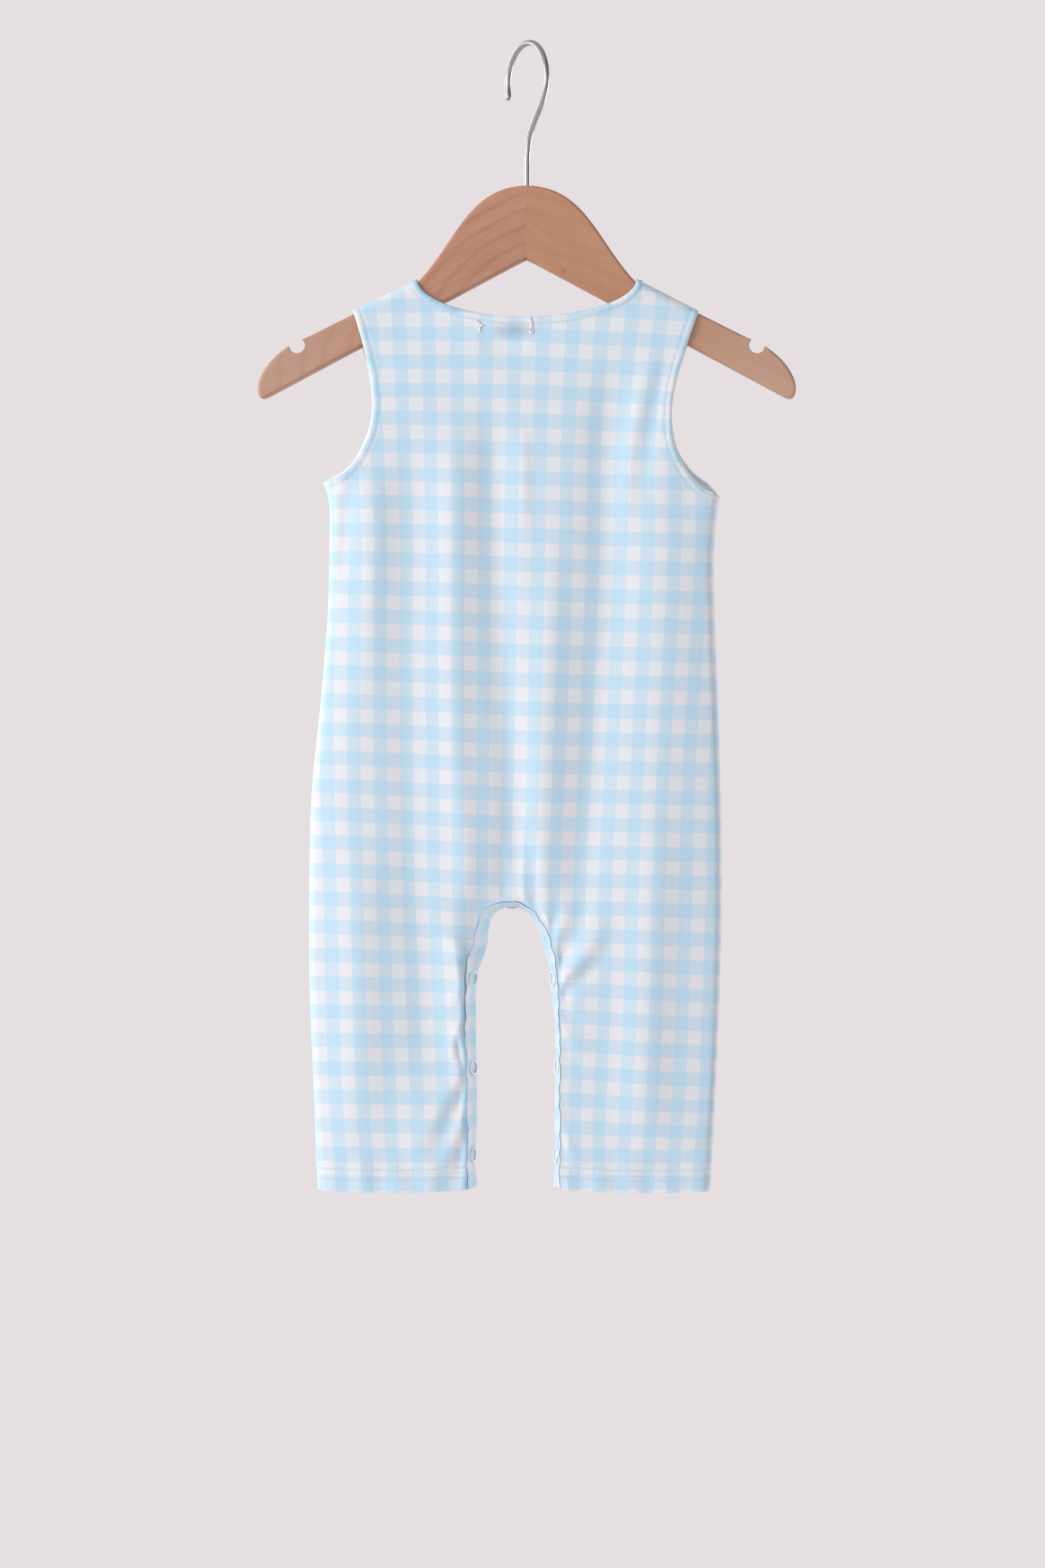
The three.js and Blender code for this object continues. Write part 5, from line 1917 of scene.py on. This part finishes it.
class SnapPart(Enum):
    """The four turned parts of a ring snap, each as a section of radius and height about its seat."""

    RING = (
        (3.55, 0.0), (3.52, 0.3), (3.64, 0.55), (3.9, 0.7), (4.16, 0.62), (4.38, 0.36), (4.44, 0.05),
        (4.3, -0.05),
    )
    SOCKET = (
        (0.0, -0.68), (3.0, -0.68), (3.1, -0.5), (3.1, -0.18), (2.95, 0.0), (2.3, 0.0), (2.1, -0.25),
        (1.3, -0.3), (1.1, -0.12), (0.0, -0.1),
    )
    STUD = (
        (0.0, -0.4), (2.9, -0.4), (3.1, -0.3), (3.1, -0.1), (2.9, 0.0), (1.6, -0.02), (1.3, 0.16), (0.9, 0.2),
        (0.0, 0.2),
    )
    INNER_RING = (
        (3.05, -0.8), (4.35, -0.8), (4.5, -0.6), (4.5, -0.25), (4.3, 0.0), (3.1, 0.0), (2.95, -0.2),
        (2.95, -0.6),
    )

    @property
    def is_open(self) -> bool:
        """Whether the part is a ring with a hole, not a disc."""
        return self in (SnapPart.RING, SnapPart.INNER_RING)


@dataclass
class RingSnap:
    """One closed snap through both strips."""

    name: str
    share: float  # of the inseam's length
    place: float = 0.62  # across the slanted wall
    sides: int = 40
    seats: dict[SnapPart, float] = field(
        default_factory=lambda: {
            SnapPart.RING: 0.12, SnapPart.SOCKET: -1.3, SnapPart.STUD: -2.3, SnapPart.INNER_RING: -4.6
        }
    )

    def turned(self, part: SnapPart) -> Surface:
        """A part turned about the snap's axis and set on its seat.

        Args:
            part: which part.

        Returns:
            The closed surface.
        """
        wall = FORM.inseam
        frames = wall.frames(np.array([self.share]))
        centre = wall.section(frames, self.place)[0]
        outward = unit(centre - wall.section(frames, self.place, 1.0)[0])
        along = np.array([frames.along[0, 0], 0.0, frames.along[0, 1]])
        across = unit(np.cross(outward, along))
        along = np.cross(across, outward)
        profile = np.array(part.value)
        angles = np.linspace(0, 2 * math.pi, self.sides, endpoint=False)
        radial = np.cos(angles)[:, None] * along + np.sin(angles)[:, None] * across
        seat = centre + outward * self.seats[part]
        rings = [seat + outward * height + radial * max(radius, 0.02) for radius, height in profile]
        if part.is_open:
            rings.append(rings[0])
        points = np.vstack(rings[:-1] if part.is_open else rings)
        quads = grid_quads(len(rings), self.sides, flipped=True, closed=True) % len(points)
        faces = quads.tolist()
        if not part.is_open:
            faces += end_caps(len(points), self.sides)
        return Surface(points, faces, [0] * len(faces), np.zeros((len(points), 2)))

    def make(self) -> None:
        """Builds and dresses the four parts."""
        for part in SnapPart:
            label = part.name.lower()
            piece = self.turned(part).piece(f"{self.name}_snap_{label}", (ENAMEL,))
            settle(piece, "snap", f"snap_{self.name}_{label}")


# --- Hanger ---


def bezier(start: Point, first: Point, second: Point, end: Point, steps: int) -> Array:
    """Points of a cubic curve, without its start.

    Args:
        start: where it starts.
        first: the handle there.
        second: the handle at its end.
        end: where it ends.
        steps: how many points.

    Returns:
        The points.
    """
    t = np.linspace(0, 1, steps + 1)[1:, None]
    a, b, c, d = (np.asarray(p, float) for p in (start, first, second, end))
    return (1 - t) ** 3 * a + 3 * (1 - t) ** 2 * t * b + 3 * (1 - t) * t**2 * c + t**3 * d


@dataclass
class HangerArm:
    """One of the hanger's two wooden arms, from the crown's middle joint to its tip."""

    hand: str
    half_span: float = 156.0
    thickness: float = 12.0
    edge_round: float = 1.9
    top: float = -81.6
    under_apex: float = -123.6
    under_slope: float = 0.5346
    neck: Point = (63.0, -137.2)
    arm_end: Point = (136.0, -173.8)
    tip_round: float = 8.0
    notch: Point = (133.2, -174.1)
    notch_radius: float = 4.6
    joint_gap: float = 0.02
    bore_radius: float = 2.0
    bore_foot: float = -98.3

    def outline(self) -> tuple[Array, Array]:
        """The arm's outline and how far its edge is rounded at each point, both for the right arm.

        Returns:
            The outline's points, and the rounding at each.
        """
        corner = np.array([self.half_span, self.under_apex - self.under_slope * self.half_span])
        under_end = corner + unit(np.array([-1.0, self.under_slope])) * self.tip_round
        crown = bezier((0, self.top), (34, self.top), (41.5, self.top - 33.5), self.neck, 40)
        straight = lerp(np.array(self.neck), np.array(self.arm_end), np.linspace(0, 1, 60)[1:, None])
        tip = bezier(
            self.arm_end, (self.arm_end[0] + 11, self.arm_end[1] - 5), (self.half_span, corner[1] + 16),
            (self.half_span, corner[1] + self.tip_round), 30,
        )
        t = np.linspace(0, 1, 12)[1:, None]
        rounded = (1 - t) ** 2 * tip[-1] + 2 * (1 - t) * t * corner + t**2 * under_end
        under = lerp(under_end, np.array([0, self.under_apex]), np.linspace(0, 1, 70)[1:, None])
        whole = np.vstack([[(self.joint_gap, self.top)], crown, straight, tip, rounded, under])
        whole[-1] = (self.joint_gap, self.under_apex)

        inside = np.nonzero(np.hypot(*(whole - self.notch).T) < self.notch_radius)[0]
        first, last = inside[0], inside[-1]
        lips = []
        for outside, within in ((whole[first - 1], whole[first]), (whole[last + 1], whole[last])):
            steps = lerp(outside, within, np.linspace(0, 1, 401)[:, None])
            lips.append(steps[np.argmin(np.abs(np.hypot(*(steps - self.notch).T) - self.notch_radius))])
        angles = [math.atan2(*(lip - self.notch)[::-1]) for lip in lips]
        start, end = angles[0] % (2 * math.pi), angles[1] % (2 * math.pi)
        end = end if end > start else end + 2 * math.pi
        turn = np.linspace(start, end, 22)
        arc = np.array(self.notch) + self.notch_radius * np.stack([np.cos(turn), np.sin(turn)], axis=-1)
        line = np.vstack([whole[:first], arc, whole[last + 1 :]])
        corners = [*lips, whole[0], whole[-1]]
        from_corner = np.min([np.hypot(*(line - corner).T) for corner in corners], axis=0)
        in_notch = np.hypot(*(line - self.notch).T) < self.notch_radius + 0.01
        rounds = np.clip(0.35 * from_corner, 0.02, np.where(in_notch, 0.5, self.edge_round))
        return line, rounds

    def build(self) -> Surface:
        """The arm as a board with rounded edges.

        Returns:
            The closed board.
        """
        line, rounds = self.outline()
        way = unit(np.roll(line, -1, axis=0) - np.roll(line, 1, axis=0))
        inward = np.stack([way[:, 1], -way[:, 0]], axis=-1)
        inward[0], inward[-1] = (0.3, -1.0), (0.3, 1.0)
        half = self.thickness / 2
        loops = []
        for sign in (-1, 1):
            steps = np.radians([90, 72, 54, 36, 18, 0])
            for angle in steps if sign < 0 else steps[::-1]:
                inset = rounds * (1 - math.cos(angle))
                depth = sign * (half - rounds + rounds * math.sin(angle))
                at = line + inward * inset[:, None]
                loops.append(np.stack([at[:, 0], depth, at[:, 1]], axis=-1))
        points = np.vstack(loops)
        count = len(line)
        quads = grid_quads(len(loops), count, closed=True)
        faces = quads.tolist() + [cap[::-1] for cap in end_caps(len(points), count)]
        dress = [0] * len(quads) + [FLAT, FLAT]
        if self.hand == "left":
            points[:, 0] *= -1
        else:
            faces = [face[::-1] for face in faces]
        return Surface(points, faces, dress, points[:, [0, 2]] / CHECK)

    def make(self) -> bpy.types.Object:
        """Builds and dresses the arm, with its half of the bore for the hook.

        Returns:
            The piece.
        """
        piece = self.build().piece(f"arm_{self.hand}", (WOOD[self.hand],))
        drill = tube(
            np.array([(0, 0, self.top + 4.0), (0, 0, self.bore_foot)], float), self.bore_radius, 28, False
        )
        cutter = drill.piece("drill", (WOOD[self.hand],))
        bore = piece.modifiers.new("bore", "BOOLEAN")
        bore.operation, bore.solver, bore.object = "DIFFERENCE", "EXACT", cutter
        bpy.context.view_layer.update()
        cut = bpy.data.meshes.new_from_object(piece.evaluated_get(bpy.context.evaluated_depsgraph_get()))
        piece.modifiers.clear()
        piece.data = cut
        bpy.data.objects.remove(cutter)
        return settle(piece, "wood", f"hanger_arm_{self.hand}")


@dataclass
class WireHook:
    """The hook of steel wire: a straight stem, a swan neck and a round bend open to the front."""

    wire: float = 3.4
    radius: float = 22.4
    turn: float = math.radians(30)
    top: float = -81.6
    stem_foot: float = -98.0

    def path(self) -> Array:
        """The wire's middle line, from the foot of the stem to the tip.

        Returns:
            The points.
        """
        stem = [
            (0, self.stem_foot), (0, self.stem_foot + 14), (0, self.top + 8), (0.2, -64), (2.6, -54),
            (9.6, -44), (17.4, -35),
        ]
        angles = np.radians(np.linspace(-12, 196, 13))
        centre = self.wire / 2 - self.radius
        bend = [(self.radius * math.cos(a), centre + self.radius * math.sin(a)) for a in angles]
        out, z = np.array([*stem, *bend], float).T
        return SmoothLine(
            np.stack([out * math.sin(self.turn), -out * math.cos(self.turn), z], axis=-1), 14
        ).points

    def make(self) -> bpy.types.Object:
        """Builds and dresses the hook."""
        piece = tube(self.path(), self.wire / 2, 20).piece("wire_hook", (STEEL,))
        return settle(piece, "steel", "hanger_hook")


# --- Studio ---


@dataclass
class Studio:
    """A pale room with soft light from the upper left, and the camera behind the garment."""

    wall: Colour = (0.784, 0.738, 0.752)
    bright_side: Colour = (0.98, 1.0, 1.04)
    dim_side: Colour = (0.17, 0.165, 0.165)
    room_strength: float = 0.95
    camera_at: tuple[float, float, float] = (-0.0025, -2.4, -0.428)
    lens: float = 95.0
    floor_height: float = -1.6
    floor_radius: float = 3.0
    floor_sides: int = 72
    aim: tuple[float, float, float] = (0, 0, -0.35)  # the middle of the object
    sensor: float = 36.0
    sight: float = 50.0
    # Each light's name, place, size and power.
    lights: tuple[tuple[str, tuple[float, float, float], float, float], ...] = (
        ("key", (-2.3, -1.5, 0.25), 1.3, 40),
        ("front", (0.4, -3.0, -0.1), 1.8, 12),
        ("behind_left", (-1.8, 2.0, 0.3), 1.5, 20),
        ("behind_right", (2.2, 1.5, -0.3), 1.3, 38),
    )

    def light(self, name: str, at: tuple[float, float, float], size: float, power: float) -> None:
        """A soft square light that faces the middle of the object.

        Args:
            name: its name.
            at: its place.
            size: its side.
            power: its power in watts.
        """
        lamp = bpy.data.lights.new(name, "AREA")
        lamp.shape, lamp.size, lamp.energy = "SQUARE", size, power
        holder = bpy.data.objects.new(name, lamp)
        holder.location = at
        holder.rotation_euler = (Vector(self.aim) - Vector(at)).to_track_quat("-Z", "Y").to_euler()
        bpy.context.scene.collection.objects.link(holder)

    def world(self) -> None:
        """The room: its walls as the camera sees them, and the softer light that they give."""
        world = bpy.data.worlds.new("room")
        bpy.context.scene.world = world
        world.use_nodes = True
        tree = world.node_tree
        tree.nodes.clear()
        seen, given = tree.nodes.new("ShaderNodeBackground"), tree.nodes.new("ShaderNodeBackground")
        seen.inputs["Color"].default_value = (*self.wall, 1)
        given.inputs["Strength"].default_value = self.room_strength
        place, axes = tree.nodes.new("ShaderNodeTexCoord"), tree.nodes.new("ShaderNodeSeparateXYZ")
        across, ramp = tree.nodes.new("ShaderNodeMapRange"), tree.nodes.new("ShaderNodeValToRGB")
        across.inputs["From Min"].default_value, across.inputs["From Max"].default_value = -1, 1
        for element, colour in zip(ramp.color_ramp.elements, (self.bright_side, self.dim_side)):
            element.color = (*colour, 1)
        tree.links.new(place.outputs["Generated"], axes.inputs[0])
        tree.links.new(axes.outputs["X"], across.inputs["Value"])
        tree.links.new(across.outputs["Result"], ramp.inputs["Fac"])
        tree.links.new(ramp.outputs["Color"], given.inputs["Color"])
        rays, mix = tree.nodes.new("ShaderNodeLightPath"), tree.nodes.new("ShaderNodeMixShader")
        output = tree.nodes.new("ShaderNodeOutputWorld")
        tree.links.new(rays.outputs["Is Camera Ray"], mix.inputs[0])
        tree.links.new(given.outputs[0], mix.inputs[1])
        tree.links.new(seen.outputs[0], mix.inputs[2])
        tree.links.new(mix.outputs[0], output.inputs["Surface"])

    def floor(self) -> None:
        """A round pale floor, far below the hems."""
        sides = self.floor_sides
        angles = np.linspace(0, 2 * math.pi, sides, endpoint=False)
        radii = np.array([0.02, 0.5, 1.0]) * self.floor_radius / MM
        level = np.full(sides, self.floor_height / MM)
        rings = [np.stack([r * np.cos(angles), r * np.sin(angles), level], axis=-1) for r in radii]
        faces = grid_quads(len(radii), sides, closed=True).tolist() + [list(range(sides))]
        points = np.vstack(rings)
        paper = Surface(points, faces, [0] * len(faces), points[:, :2] / 1000).piece("floor", (FLOOR,))

    def camera(self) -> None:
        """The camera, level."""
        lens = bpy.data.cameras.new("camera")
        lens.lens, lens.sensor_width, lens.clip_end = self.lens, self.sensor, self.sight
        holder = bpy.data.objects.new("camera", lens)
        holder.location = self.camera_at
        holder.rotation_euler = (math.pi / 2, 0, 0)
        bpy.context.scene.collection.objects.link(holder)
        bpy.context.scene.camera = holder

    def make(self) -> None:
        """Sets up the room, the light and the camera."""
        bpy.context.scene.view_settings.view_transform = "Standard"
        self.camera()
        self.world()
        self.floor()
        for lamp in self.lights:
            self.light(*lamp)


SNAP_NAMES = ("left_hem", "left_knee", "left_thigh", "crotch", "right_thigh", "right_knee", "right_hem")


def main() -> None:
    """Builds the studio, the hanger and the garment, and reports each piece."""
    logging.basicConfig(level=logging.INFO, format="%(name)s: %(message)s")
    Studio().make()
    for hand in HALVES:
        HangerArm(hand).make()
    WireHook().make()
    for face in Face:
        Panel(face, PANEL_AREA[face]).make()
        NeckRoll(face).make()
        StitchRows(face).make()
    InseamStrip(
        "lap_strip", "front_placket", places=tuple(np.linspace(0, 2, 25)), depth=0.0,
        flat_size=(0.0145, 0.375), area=0.0049, roll=0.25,
    ).make()
    InseamStrip(
        "under_strip", "back_placket", places=(0.13, 0.18, 0.3, 0.45, 0.6, 0.75, 0.95, 1.05, 1.15), depth=1.4,
        flat_size=(0.0115, 0.375), area=0.0037, pressed=1.9,
    ).make()
    NeckTacks().make()
    for name, share in zip(SNAP_NAMES, FORM.inseam.snaps):
        RingSnap(name, float(share)).make()


if __name__ == "__main__":
    main()
